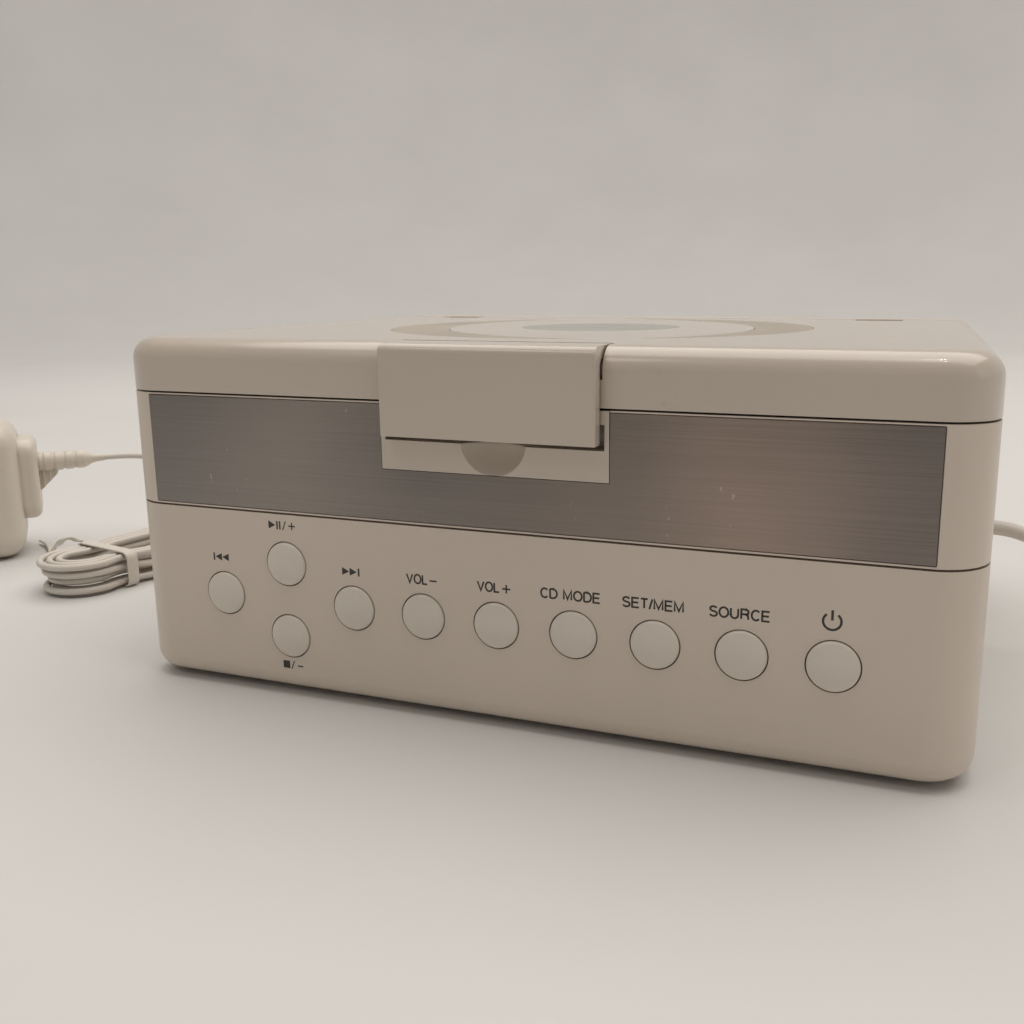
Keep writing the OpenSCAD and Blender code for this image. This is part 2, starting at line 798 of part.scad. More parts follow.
module crescent(r, cut_r, turn) {
  rotate(turn)
    difference() {
      circle(r);
      translate([-crescent_shift, 0])
        circle(cut_r);
    }
}

module lid_shell() color(white)
  difference() {
    union() {
      difference() {
        lid_blank(0, 0)
          union() {
            span([-half_w, front_y, z_lid0], [half_w, hinge_y, z_top]);
            rod_along_x(-half_w, half_w, hinge_y, hinge_z, hinge_r);
          }
        lid_cavity();
      }
      lid_blank(0.5, 0)
        span([-latch_w / 2 - 7, front_y, z_lid0], [latch_w / 2 + 7, pivot_y + 10.5, z_top]);
    }
    span([-latch_w / 2 - latch_gap, front_y - 1, notch_z],
      [latch_w / 2 + latch_gap, pivot_y, z_top + 1]);
    rod_along_x(-latch_w / 2 - latch_gap, latch_w / 2 + latch_gap, pivot_y, pivot_z,
      latch_drop + latch_gap);
    rod_along_x(-latch_w / 2 - 5, latch_w / 2 + 5, pivot_y, pivot_z, latch_pin_r + 0.02);
    for (side = [-1, 1]) {
      span([side * ear_x - ear_w / 2 - ear_gap, hinge_y - ear_r - 0.7, z_lid0 - 1],
        [side * ear_x + ear_w / 2 + ear_gap, back_y, z_top + 1]);
      rod_along_x(side * ear_x - ear_w - 1, side * ear_x + ear_w + 1, hinge_y, hinge_z,
        hinge_pin_r + 0.05);
    }
    translate([0, 0, z_top - window_t])
      linear_extrude(window_t + 1) {
        circle(window_r);
        for (turn = [0, 180])
          crescent(crescent_r, crescent_cut_r, crescent_turn + turn);
      }
  }

module crescent_windows() color(tint)
  translate([0, 0, z_top - window_t])
    linear_extrude(window_t)
      for (turn = [0, 180])
        crescent(crescent_r - fit, crescent_cut_r + fit, crescent_turn + turn);

module centre_window() color(tint)
  rod_up(0, 0, z_top - window_t, z_top, window_r - fit);

module latch_pin() color(steel)
  rod_along_x(-latch_w / 2 - 5, latch_w / 2 + 5, pivot_y, pivot_z, latch_pin_r);

module latch_spring() color(steel)
  difference() {
    rod_along_x(-3, 3, pivot_y, pivot_z, 1.9);
    rod_along_x(-4, 4, pivot_y, pivot_z, latch_pin_r + 0.02);
  }

// Latch: a flap in front of the lid, a top that runs back to the pin, and a curved tongue
module latch() color(white) {
  latch_y = front_y - latch_proud;
  face_y = front_y - latch_gap;
  difference() {
    union() {
      across(latch_w)
        union() {
          translate([latch_y, latch_z0])
            square([face_y - latch_y, z_top - latch_z0 - 2]);
          translate([latch_y + 2, z_top - latch_t])
            square([pivot_y + heel - latch_y - 2, latch_t]);
          translate([latch_y + 2, z_top - 2])
            circle(2);
          translate([latch_y, z_top - latch_t - 1])
            square([face_y - latch_y, latch_t - 1]);
          translate([pivot_y, pivot_z])
            circle(latch_drop);
        }
      across(tongue_w)
        intersection() {
          difference() {
            translate([pivot_y, pivot_z])
              circle(tongue_out);
            translate([pivot_y, pivot_z])
              circle(tongue_in);
          }
          translate([face_y - 1.5, latch_z0 - 1])
            square([pivot_y - 1.6 - face_y + 1.5, 10]);
        }
    }
    rod_along_x(-latch_w, latch_w, pivot_y, pivot_z, latch_pin_r + 0.05);
    rod_along_x(-3.5, 3.5, pivot_y, pivot_z, 2.4);
  }
}

module spindle_shaft() color(steel)
  rod_up(0, 0, motor_z0 - 0.2, disc_z + 3, shaft_r);

module turntable() color(dark)
  difference() {
    union() {
      rod_up(0, 0, disc_z - 2.6, disc_z - 0.6, platform_r);
      rod_up(0, 0, chassis_z1 + 0.8, disc_z - 2.5, 5);
      rod_up(0, 0, disc_z - 0.7, disc_z + 2.2, hub_r);
      translate([0, 0, disc_z + 2.2])
        cylinder(h = 1.6, r1 = hub_r, r2 = hub_r - 2);
    }
    rod_up(0, 0, chassis_z1, disc_z + 3, shaft_r);
    for (turn = [0 : 120 : 240])
      rotate(turn)
        span([hub_r - 2.6, -1.6, disc_z + 0.2], [hub_r + 1, 1.6, disc_z + 5]);
  }

// Rubber ring under the disc, and the three sprung claws that grip its hole
module turntable_pad() color(rubber)
  difference() {
    rod_up(0, 0, disc_z - 0.6, disc_z, platform_r - 0.5);
    rod_up(0, 0, disc_z - 1, disc_z + 1, hub_r + 0.6);
  }

// Tooth of a gear: half its width in degrees at radius r, from the involute of a circle
function involute(a) = tan(a) * 180 / PI - a;
function half_tooth(r, pitch_r, teeth) = 90 / teeth - 0.05 / pitch_r * 180 / PI
  + involute(20) - involute(acos(min(1, pitch_r * cos(20) / r)));

module gear_outline(m, teeth) {
  pitch_r = m * teeth / 2;
  root = pitch_r - 1.2 * m;
  tip = pitch_r + 0.9 * m;
  steps = [root, max(pitch_r * cos(20), root + 0.05), pitch_r, tip];
  circle(root + 0.02);
  for (k = [0 : teeth - 1])
    rotate(360 * k / teeth)
      polygon([
        for (r = steps) r * [cos(half_tooth(r, pitch_r, teeth)), -sin(half_tooth(r, pitch_r, teeth))],
        for (i = [3 : -1 : 0]) let (r = steps[i])
          r * [cos(half_tooth(r, pitch_r, teeth)), sin(half_tooth(r, pitch_r, teeth))]
      ]);
}

// Rack along Y whose teeth point to +X, with a space at y = gear_y
module rack_outline() {
  pitch = PI * rack_module;
  half = pitch / 4 - 0.05;
  square_y0 = gear_y - 14 * pitch;
  translate([rack_x - 3, square_y0])
    square([3 - 1.2 * rack_module, 15 * pitch]);
  for (k = [-14 : 0])
    translate([rack_x, gear_y + (k + 0.5) * pitch])
      polygon([
        [-1.25 * rack_module, -half - 1.25 * rack_module * tan(20)],
        [0.9 * rack_module, -half + 0.9 * rack_module * tan(20)],
        [0.9 * rack_module, half - 0.9 * rack_module * tan(20)],
        [-1.25 * rack_module, half + 1.25 * rack_module * tan(20)]
      ]);
}

module pickup_sled() color(dark)
  difference() {
    union() {
      span([rod_x - 3.2, lens_start - 9, rod_z - 3], [rod_x + 3.2, lens_start + 10, sled_z1]);
      span([rod_x, lens_start - 9, sled_z0 + 1], [rail_x - 1, lens_start + 10, sled_z1]);
      span([rail_x - 3, lens_start - 3, rod_z - 2.6], [rail_x + 3, lens_start + 3, sled_z1]);
      span([rail_x + 2, lens_start - 3, sled_z1 - 2.2], [rack_x - 1.2, lens_start + 3, sled_z1]);
      span([rack_x - 3, lens_start - 4, rack_z], [rack_x - 1.2, lens_start + 4, sled_z1]);
      rod_up(0, lens_start, sled_z1 - 1, disc_z - 3.5, 4.4);
      translate([0, 0, rack_z])
        linear_extrude(rack_h)
          rack_outline();
    }
    rod_along_y(lens_start - 12, lens_start + 12, rod_x, rod_z, rod_r + 0.05);
    rod_along_y(lens_start - 12, lens_start + 12, rail_x, rod_z, rod_r + 0.05);
    rod_up(0, lens_start, disc_z - 4.3, disc_z, 3.2);
  }

module objective_lens() color(tint)
  intersection() {
    rod_up(0, lens_start, disc_z - 4.3, disc_z - 2.6, 2.6);
    translate([0, lens_start, disc_z - 7.6])
      sphere(5);
  }

module drive_gear() color(white)
  difference() {
    union() {
      translate([gear_x, gear_y, wheel_z])
        linear_extrude(wheel_h)
          gear_outline(drive_module, wheel_teeth);
      translate([gear_x, gear_y, wheel_z + wheel_h])
        cylinder(h = rack_z - wheel_z - wheel_h, r = 4);
      translate([gear_x, gear_y, rack_z])
        linear_extrude(rack_h)
          gear_outline(rack_module, rack_teeth);
    }
    rod_up(gear_x, gear_y, wheel_z - 1, sled_z1, stud_r + 0.05);
  }

module motor_pinion() color(steel) {
  translate([sled_motor_x, sled_motor_y, wheel_z])
    rotate(180 / pinion_teeth)
      linear_extrude(wheel_h)
        gear_outline(drive_module, pinion_teeth);
  rod_up(sled_motor_x, sled_motor_y, wheel_z + 0.5, wheel_z + wheel_h + 5, shaft_r);
}

// One button: a domed cap, a flange that stops it behind the wall, and a stem
module button(i) {
  cap_r = button_hole_r - button_gap;
  rise = button_proud - 0.4;
  dome_r = (cap_r * cap_r + rise * rise) / (2 * rise);
  color(cap_white)
    translate([button_x(i), front_y, button_level(i)])
      rotate([-90, 0, 0]) {
        intersection() {
          translate([0, 0, dome_r - button_proud])
            sphere(dome_r);
          translate([0, 0, -button_proud - 1])
            cylinder(h = button_proud + 1 + wall + 0.5, r = cap_r);
        }
        translate([0, 0, wall + 0.15])
          cylinder(h = flange_t, r = flange_r);
        translate([0, 0, wall])
          cylinder(h = stem_end - wall, r = 2);
      }
}

module dc_plug() color(dark) {
  difference() {
    rod_along_x(plug_x - 0.1, -jack_x - 3.6, dc_y, dc_z, 2.75);
    rod_along_x(-half_w + 1, -jack_x - 3, dc_y, dc_z, 1.05);
  }
  rod_along_x(relief_x, plug_x, dc_y, dc_z, 4);
}

// Tube swept along a curve: rings of points round the path, each turned with it
function unit(v) = v / norm(v);
function ring_at(p, dir, r, sides) =
  let (side = unit(cross(abs(dir[2]) > 0.9 ? [1, 0, 0] : [0, 0, 1], dir)), up = cross(dir, side))
    [for (k = [0 : sides - 1])
      p + r * cos(360 * (k + 0.5) / sides) * side + r * sin(360 * (k + 0.5) / sides) * up];

module sweep(path, radii, sides) {
  n = len(path);
  dirs = [for (i = [0 : n - 1]) unit(path[min(i + 1, n - 1)] - path[max(i - 1, 0)])];
  points = [for (i = [0 : n - 1]) each ring_at(path[i], dirs[i], radii[i], sides)];
  walls = [for (i = [0 : n - 2], k = [0 : sides - 1])
    let (a = i * sides + k, b = i * sides + (k + 1) % sides)
      each [[a, a + sides, b], [b, a + sides, b + sides]]];
  ends = [
    [for (k = [0 : sides - 1]) k],
    [for (k = [sides - 1 : -1 : 0]) (n - 1) * sides + k]
  ];
  polyhedron(points, concat(walls, ends));
}

// Smooth curve through the points of a route
function bend(p, i, t) =
  let (a = p[max(i - 1, 0)], b = p[i], c = p[i + 1], d = p[min(i + 2, len(p) - 1)])
    0.5 * (2 * b + (c - a) * t + (2 * a - 5 * b + 4 * c - d) * t * t
      + (3 * b - a - 3 * c + d) * t * t * t);
function smooth(p, steps) =
  [for (i = [0 : len(p) - 2], k = [0 : steps - 1]) bend(p, i, k / steps), p[len(p) - 1]];
function same(n, v) = [for (i = [1 : n]) v];

// A hank's centre line: t counts turns, and the spiral runs in and out, layer by layer
function hank_d(h) = h[2];
function hank_step(h) = h[2] + turn_gap;
function hank_layer(h) = h[2] + layer_gap;
function hank_turns(h) = 2 * h[5] + 0.5;
function hank_z(h) = tie_t + h[2] / 2 + 0.2;
function hank_r(h, t) =
  h[4] + hank_step(h) * (t < 0 ? 2 - t : t > 2 * h[5] - 2 ? t - 2 * h[5] + 2 : abs(t % 4 - 2));
function climb(t, at) = max(0, min(1, (t - at) * 6 + 1));
function hank_level(h, t) =
  hank_z(h) + hank_layer(h) * ([for (k = [1 : h[5] - 1]) climb(t, 2 * k)] * same(h[5] - 1, 1));
function on_loop(h, q, r) =
  q <= 8 ? [h[3], 0] + r * [cos(22.5 * q - 90), sin(22.5 * q - 90)]
    : q < 12 ? [h[3] * (1 - (q - 8) / 2), r]
    : q <= 20 ? [-h[3], 0] + r * [cos(22.5 * q - 180), sin(22.5 * q - 180)]
    : [h[3] * ((q - 20) / 2 - 1), -r];
function drawn(h, p) =
  let (near = (p[0] - waist_x) / (h[3] - waist_x))
    [p[0], p[1] - sign(p[1]) * waist_in * max(0, 1 - near * near)];
function hank_place(h, p, z) =
  [h[0][0] + p[0] * cos(h[1]) + p[1] * sin(h[1]), h[0][1] + p[0] * sin(h[1]) - p[1] * cos(h[1]), z];
function hank_path(h) = [for (k = [-4 : 24 * hank_turns(h)])
  hank_place(h, drawn(h, on_loop(h, (k + 24) % 24, hank_r(h, k / 24))), hank_level(h, k / 24))];
function hank_gap(h, p) = min([for (i = [0 : len(p) - 1], j = [i + 8 : 1 : len(p) - 1])
  norm(p[i] - p[j])]) - hank_d(h);
function last(p) = p[len(p) - 1];
lead_coils = hank_path(LEAD_HANK);
aerial_coils = hank_path(AERIAL_HANK);
echo(lead_hank_gap = hank_gap(LEAD_HANK, lead_coils));
echo(aerial_hank_gap = hank_gap(AERIAL_HANK, aerial_coils));

relief_path = smooth([[relief_x, dc_y, dc_z], [-111, 29.8, 19.8], RUN[0]], 4);
run_path = smooth(concat(RUN, [lead_coils[0]]), 3);
tail_path = smooth(concat([last(lead_coils)], TAIL, [[boot_x, boot_y, boot_z]]), 2);
gland_path = smooth([[gland_x, aerial_y, aerial_z], [109.5, 2.8, 35.6], AERIAL_RUN[0]], 4);
aerial_path = smooth(concat(AERIAL_RUN, [aerial_coils[0]]), 3);
aerial_end = smooth(concat([last(aerial_coils)], AERIAL_TAIL), 3);

function length(p) = [for (i = [1 : len(p) - 1]) norm(p[i] - p[i - 1])] * same(len(p) - 1, 1);
function joined(paths) = [for (p = paths) length(p)] * same(len(paths), 1);
echo(lead_length = joined([relief_path, run_path, lead_coils, tail_path]));
echo(aerial_length = joined([gland_path, aerial_path, aerial_coils, aerial_end]));
echo(lead_in = lead_coils[0], lead_out = last(lead_coils));
echo(aerial_in = aerial_coils[0], aerial_out = last(aerial_coils));

module even_tube(path, r, sides) {
  sweep(path, same(len(path), r), sides);
}

module taper_tube(path, r0, r1) {
  n = len(path);
  sweep(path, [for (i = [0 : n - 1]) r0 + (r1 - r0) * i / (n - 1)], 8);
}

// Flat band round the waist of a hank
module tie_band(h) {
  half = h[4] + 2.5 * hank_step(h) - waist_in + h[2] / 2 + 0.3;
  high = hank_z(h) + (h[5] - 1) * hank_layer(h) + h[2] / 2 + 0.2;
  translate([h[0][0], h[0][1], 0])
    rotate(h[1])
      difference() {
        span([waist_x - tie_w / 2, -half - tie_t, 0],
          [waist_x + tie_w / 2, half + tie_t, high + tie_t]);
        span([waist_x - tie_w, -half, tie_t], [waist_x + tie_w, half, high]);
      }
}

module plug_relief() color(dark)
  taper_tube(relief_path, 1.9, 1.2);

module lead_run() color(cap_white)
  even_tube(run_path, lead_r, 8);

module lead_hank() color(cap_white)
  even_tube(lead_coils, lead_r, 6);

module lead_tail() color(cap_white)
  even_tube(tail_path, lead_r, 8);

module hank_tie() color(cap_white) {
  tie_band(LEAD_HANK);
  even_tube(smooth(TIE_TAIL, 3), 1, 6);
}

module aerial_gland() color(cap_white) {
  rod_along_x(side_in - 2, gland_x, aerial_y, aerial_z, 2);
  rod_along_x(side_in - 2, side_in - 0.1, aerial_y, aerial_z, 3);
  taper_tube(gland_path, 1.9, 1.1);
}

module aerial_run() color(cap_white)
  even_tube(aerial_path, wire_r, 8);

module aerial_hank() color(cap_white)
  even_tube(aerial_coils, wire_r, 6);

module aerial_tail() color(cap_white)
  even_tube(aerial_end, wire_r, 8);

module aerial_tie() color(cap_white)
  tie_band(AERIAL_HANK);

// Moulded tip that closes the aerial wire's free end
module aerial_tip() color(dark)
  rod_along_x(last(AERIAL_TAIL)[0] - 8, last(AERIAL_TAIL)[0], last(AERIAL_TAIL)[1],
    last(AERIAL_TAIL)[2] + 0.3, 1.3);

// The adapter's own frame: X runs along the lead where it leaves the boot
module at_adapter()
  translate([boot_x, boot_y, 0])
    rotate(adapter_turn)
      children();

module adapter_body() color(white)
  at_adapter() {
    translate([-boot_l - adapter_l, 0, adapter_h / 2])
      rotate([0, 90, 0])
        rolled_block(adapter_h, adapter_w, adapter_l - 6, shoulder + 1, shoulder);
    translate([-boot_l - 8, 0, adapter_h / 2 + 3])
      rotate([0, 90, 0])
        rolled_block(adapter_h - 20, adapter_w - 14, 8, 6, 3);
  }

module adapter_pins() color(steel)
  at_adapter()
    for (side = [-1, 1])
      translate([-boot_l - adapter_l, side * 9.5, adapter_h / 2]) {
        rod_along_x(-19, -9, 0, 0, 2);
        rod_along_x(-9.1, 0, 0, 0, 1.7);
      }

// Ribbed boot where the lead enters the adapter, with a web under it
module adapter_boot() color(white)
  at_adapter() {
    translate([0, 0, boot_z])
      rotate([0, -90, 0]) {
        cylinder(h = boot_l, r1 = 1.5, r2 = 3.2);
        for (k = [0 : 4])
          translate([0, 0, 4 + 3.8 * k])
            cylinder(h = 2.6, r = 3.2 + 0.15 * k);
      }
    rotate([90, 0, 0])
      linear_extrude(3, center = true)
        polygon([
          [-boot_l, boot_z - 11], [-boot_l, boot_z], [-boot_l + 7, boot_z], [-boot_l + 6, boot_z - 5]
        ]);
  }

rear_shell();
mid_frame();
deck();
hinge_rail();
trim_plate();
catch_frame();
rubber_feet();
case_screws();
circuit_boards();
tact_switches();
small_screws();
board_parts();
dc_jack();
audio_jack();
speaker_frames();
speaker_cones();
mech_chassis();
damper_bushes();
spindle_motor();
mech_rods();
sled_motor();
hinge_pins();
lid_shell();
crescent_windows();
centre_window();
latch_pin();
latch_spring();
latch();
spindle_shaft();
turntable();
turntable_pad();
pickup_sled();
objective_lens();
drive_gear();
motor_pinion();
button(0);  // button_previous
button(1);  // button_play
button(2);  // button_stop
button(3);  // button_next
button(4);  // button_volume_down
button(5);  // button_volume_up
button(6);  // button_mode
button(7);  // button_memory
button(8);  // button_source
button(9);  // button_power
dc_plug();
plug_relief();
lead_run();
lead_hank();
lead_tail();
hank_tie();
adapter_body();
adapter_boot();
adapter_pins();
aerial_gland();
aerial_run();
aerial_hank();
aerial_tail();
aerial_tie();
aerial_tip();
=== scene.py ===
import math

import bmesh
import bpy
from mathutils import Matrix, Vector


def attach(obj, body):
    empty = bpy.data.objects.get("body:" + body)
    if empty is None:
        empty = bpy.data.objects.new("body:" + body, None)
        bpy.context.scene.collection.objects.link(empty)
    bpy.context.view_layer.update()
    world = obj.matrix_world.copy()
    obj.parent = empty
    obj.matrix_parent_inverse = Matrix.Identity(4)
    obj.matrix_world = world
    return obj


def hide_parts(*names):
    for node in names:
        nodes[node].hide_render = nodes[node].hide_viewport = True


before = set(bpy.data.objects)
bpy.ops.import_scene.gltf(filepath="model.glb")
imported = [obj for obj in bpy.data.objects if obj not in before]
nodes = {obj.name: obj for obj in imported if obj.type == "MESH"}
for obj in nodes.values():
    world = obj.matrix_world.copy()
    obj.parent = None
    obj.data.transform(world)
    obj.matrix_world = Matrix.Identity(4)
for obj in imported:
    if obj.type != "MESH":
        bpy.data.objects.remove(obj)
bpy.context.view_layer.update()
scene = bpy.context.scene

# Places on the player in millimetres, as in the part's source
FRONT = -77.25
MID = 1.75
HALF_W = 100.0
HALF_D = 79.0
CORNER_R = 11
WELL_FLOOR = 62.0
DISC_Z = 66.0
LENS_Y = 23
SCREW_AT = (88, 67)
AUDIO_JACK = (99.6, 26, 30)
MM = 0.001

# Upright of the swept cords
UP = Vector((0, 0, 1))


def mm(p):
    return Vector(p) * MM


# Camera at the photographed angle
def make_camera():
    data = bpy.data.cameras.new("camera")
    data.lens = 34.58
    data.sensor_width = 36
    data.shift_x = -0.0469
    data.shift_y = -0.0313
    data.clip_start = 0.01
    cam = bpy.data.objects.new("camera", data)
    scene.collection.objects.link(cam)
    right = Vector((0.939862, 0.341499, -0.006107))
    up = Vector((-0.062364, 0.189161, 0.979964))
    back = Vector((0.335812, -0.920650, 0.199083))
    turn = Matrix((right, up, back)).transposed().to_4x4()
    cam.matrix_world = Matrix.Translation((0.08466, -0.26621, 0.09912)) @ turn
    scene.camera = cam


make_camera()


# Materials, all made of nodes
class Tree:
    """Short way to write a material's nodes."""

    def __init__(self, name):
        self.material = bpy.data.materials.new(name)
        self.material.use_nodes = True
        self.tree = self.material.node_tree
        self.shader = self.tree.nodes["Principled BSDF"]
        self.place = self.node("ShaderNodeTexCoord").outputs["Object"]

    def node(self, kind, **values):
        made = self.tree.nodes.new(kind)
        for key, value in values.items():
            setattr(made, key, value)
        return made

    def link(self, a, b):
        self.tree.links.new(a, b)

    def scaled(self, scale):
        mapping = self.node("ShaderNodeMapping")
        mapping.inputs["Scale"].default_value = scale
        self.link(self.place, mapping.inputs["Vector"])
        return mapping.outputs["Vector"]

    def noise(self, scale, detail=3.0, rough=0.55, where=None):
        made = self.node("ShaderNodeTexNoise")
        made.inputs["Scale"].default_value = scale
        made.inputs["Detail"].default_value = detail
        made.inputs["Roughness"].default_value = rough
        self.link(where or self.place, made.inputs["Vector"])
        return made.outputs["Fac"]

    def span(self, value, low, high, start=0.3, end=0.7):
        made = self.node("ShaderNodeMapRange")
        made.inputs["From Min"].default_value = start
        made.inputs["From Max"].default_value = end
        made.inputs["To Min"].default_value = low
        made.inputs["To Max"].default_value = high
        self.link(value, made.inputs["Value"])
        return made.outputs["Result"]

    def mix(self, fac, a, b, kind="MIX"):
        made = self.node("ShaderNodeMix", data_type="RGBA", blend_type=kind)
        for socket, value in ((made.inputs[0], fac), (made.inputs[6], a), (made.inputs[7], b)):
            if isinstance(value, bpy.types.NodeSocket):
                self.link(value, socket)
            elif isinstance(value, float):
                socket.default_value = value
            else:
                socket.default_value = (*value, 1.0)
        return made.outputs[2]

    def math(self, kind, a, b):
        made = self.node("ShaderNodeMath", operation=kind)
        for socket, value in ((made.inputs[0], a), (made.inputs[1], b)):
            if isinstance(value, bpy.types.NodeSocket):
                self.link(value, socket)
            else:
                socket.default_value = value
        return made.outputs[0]

    def edges(self, radius):
        """1 at worn edges and 0 on flat faces."""
        bevel = self.node("ShaderNodeBevel", samples=4)
        bevel.inputs["Radius"].default_value = radius
        geometry = self.node("ShaderNodeNewGeometry")
        dot = self.node("ShaderNodeVectorMath", operation="DOT_PRODUCT")
        self.link(bevel.outputs["Normal"], dot.inputs[0])
        self.link(geometry.outputs["Normal"], dot.inputs[1])
        return self.span(dot.outputs["Value"], 1.0, 0.0, 0.8, 0.985)

    def crevice(self, distance):
        """1 in the open and towards 0 in seams and corners."""
        ao = self.node("ShaderNodeAmbientOcclusion", samples=4)
        ao.inputs["Distance"].default_value = distance
        return ao.outputs["AO"]

    def bump(self, height, strength, distance, after=None):
        made = self.node("ShaderNodeBump")
        made.inputs["Strength"].default_value = strength
        made.inputs["Distance"].default_value = distance
        self.link(height, made.inputs["Height"])
        if after:
            self.link(after, made.inputs["Normal"])
        return made.outputs["Normal"]

    def finish(self, colour, rough, normal=None, **constants):
        self.link(colour, self.shader.inputs["Base Color"])
        self.link(rough, self.shader.inputs["Roughness"])
        if normal:
            self.link(normal, self.shader.inputs["Normal"])
        for key, value in constants.items():
            self.shader.inputs[key.replace("_", " ")].default_value = value
        return self.material


def tone(colour, gain):
    return tuple(c * gain for c in colour)


def plastic(name, colour, rough, grain=0.12, seams=True, gain=(0.975, 1.02), **constants):
    """Moulded plastic: fine grain, slow changes of tone, painted shade that darkens its seams and corners,
    and rubbed edges.
    """
    t = Tree(name)
    slow = t.noise(22, 4)
    fine = t.noise(260, 5, 0.65)
    grit = t.noise(1900, 2)
    base = t.mix(t.span(slow, 0.0, 1.0), tone(colour, gain[0]), tone(colour, gain[1]))
    base = t.mix(t.span(fine, 0.0, 0.08, 0.5, 0.8), base, tone(colour, 0.84))
    if seams:
        # Painted shade: ambient occlusion turns the colour dark brown in seams, corners and gaps between
        # parts
        painted_shade = t.span(t.crevice(0.0016), 0.55, 0.0, 0.25, 0.95)
        base = t.mix(painted_shade, base, (colour[0] * 0.42, colour[1] * 0.36, colour[2] * 0.3))
    worn = t.math("MULTIPLY", t.edges(0.0003), t.span(fine, 0.05, 0.4, 0.35, 0.6))
    base = t.mix(worn, base, tuple(min(1.0, c * 1.12 + 0.01) for c in colour))
    shine = t.math("ADD", t.span(slow, rough - 0.03, rough + 0.03), t.span(fine, 0.0, 0.06, 0.45, 0.75))
    wave = t.bump(t.noise(90, 2), 0.03, 0.0003)
    return t.finish(base, shine, t.bump(grit, grain, 0.00003, wave), **constants)


def brushed():
    """Aluminium sheet brushed along X, with broad soft flares of reflection painted into its colour across X,
    and a few stray scratches.
    """
    t = Tree("brushed_plate")
    long = t.noise(1.0, 3, 0.6, t.scaled((24, 900, 5200)))
    wide = t.noise(1.0, 3, 0.5, t.scaled((9, 60, 1500)))
    cloud = t.noise(1.0, 2, 0.4, t.scaled((16, 1, 22)))
    lines = t.math("ADD", t.math("MULTIPLY", long, 0.84), t.math("MULTIPLY", wide, 0.16))
    base = t.mix(t.span(lines, 0.0, 1.0, 0.36, 0.64), (0.214, 0.195, 0.178), (0.28, 0.255, 0.232))
    base = t.mix(t.span(cloud, 0.0, 0.6, 0.35, 0.68), base, (0.36, 0.315, 0.285))
    parts = t.node("ShaderNodeSeparateXYZ")
    t.link(t.place, parts.inputs[0])
    # Painted reflection: a ramp across X lightens and darkens the colour in broad vertical bands, with a warm
    # bright band towards +X
    painted_flare_ramp = t.node("ShaderNodeValToRGB")
    t.link(t.span(parts.outputs["X"], 0.0, 1.0, -0.09, 0.09), painted_flare_ramp.inputs["Fac"])
    painted_flare_ramp.color_ramp.interpolation = "EASE"
    painted_flare_stops = ((0.0, (0.9, 0.92, 0.95)), (0.24, (1.06, 1.06, 1.06)), (0.42, (0.84, 0.84, 0.85)),
        (0.66, (0.9, 0.86, 0.83)), (0.8, (1.22, 1.08, 1.02)), (1.0, (0.86, 0.83, 0.84)))  # place, tint
    while len(painted_flare_ramp.color_ramp.elements) < len(painted_flare_stops):
        painted_flare_ramp.color_ramp.elements.new(0.5)
    for stop, (at, tint) in zip(painted_flare_ramp.color_ramp.elements, painted_flare_stops):
        stop.position = at
        stop.color = (*tint, 1.0)
    base = t.mix(1.0, base, painted_flare_ramp.outputs["Color"], "MULTIPLY")
    scratch = t.noise(1.0, 2, 0.5, t.scaled((700, 60, 420)))
    rare = t.math("MULTIPLY", t.span(scratch, 0.0, 0.5, 0.72, 0.76), t.span(cloud, 0.0, 1.0, 0.5, 0.6))
    base = t.mix(rare, base, (0.66, 0.62, 0.58))
    rough = t.math("ADD", t.span(lines, 0.3, 0.4, 0.36, 0.64), t.math("MULTIPLY", cloud, 0.08))
    normal = t.bump(lines, 0.2, 0.00003)
    return t.finish(base, rough, normal, Metallic=1.0)


def metal(name, colour, rough, lines=(60, 60, 60), strength=0.08):
    t = Tree(name)
    grain = t.noise(1.0, 4, 0.6, t.scaled(lines))
    stain = t.noise(90, 3)
    base = t.mix(t.span(grain, 0.0, 1.0), tone(colour, 0.86), tone(colour, 1.06))
    base = t.mix(t.span(stain, 0.0, 0.3, 0.5, 0.75), base, tone(colour, 0.6))
    base = t.mix(t.math("MULTIPLY", t.edges(0.0002), 0.6), base, tone(colour, 1.25))
    shine = t.math("ADD", t.span(grain, rough - 0.06, rough + 0.08), t.span(stain, 0.0, 0.12, 0.5, 0.75))
    return t.finish(base, shine, t.bump(grain, strength, 0.00005), Metallic=1.0)


def rubber(name, colour, rough=0.72):
    t = Tree(name)
    fine = t.noise(900, 4, 0.7)
    slow = t.noise(60, 3)
    base = t.mix(t.span(slow, 0.0, 1.0), tone(colour, 0.75), tone(colour, 1.35))
    base = t.mix(t.span(fine, 0.0, 0.35, 0.5, 0.8), base, tone(colour, 2.4))
    return t.finish(base, t.span(slow, rough - 0.1, rough + 0.08), t.bump(fine, 0.25, 0.00005))


def paper():
    t = Tree("speaker_paper")
    fibre = t.noise(1500, 5, 0.75)
    rings = t.noise(420, 2)
    base = t.mix(t.span(fibre, 0.0, 1.0), (0.028, 0.027, 0.026), (0.085, 0.08, 0.075))
    return t.finish(base, t.span(rings, 0.75, 0.92), t.bump(fibre, 0.4, 0.0001))


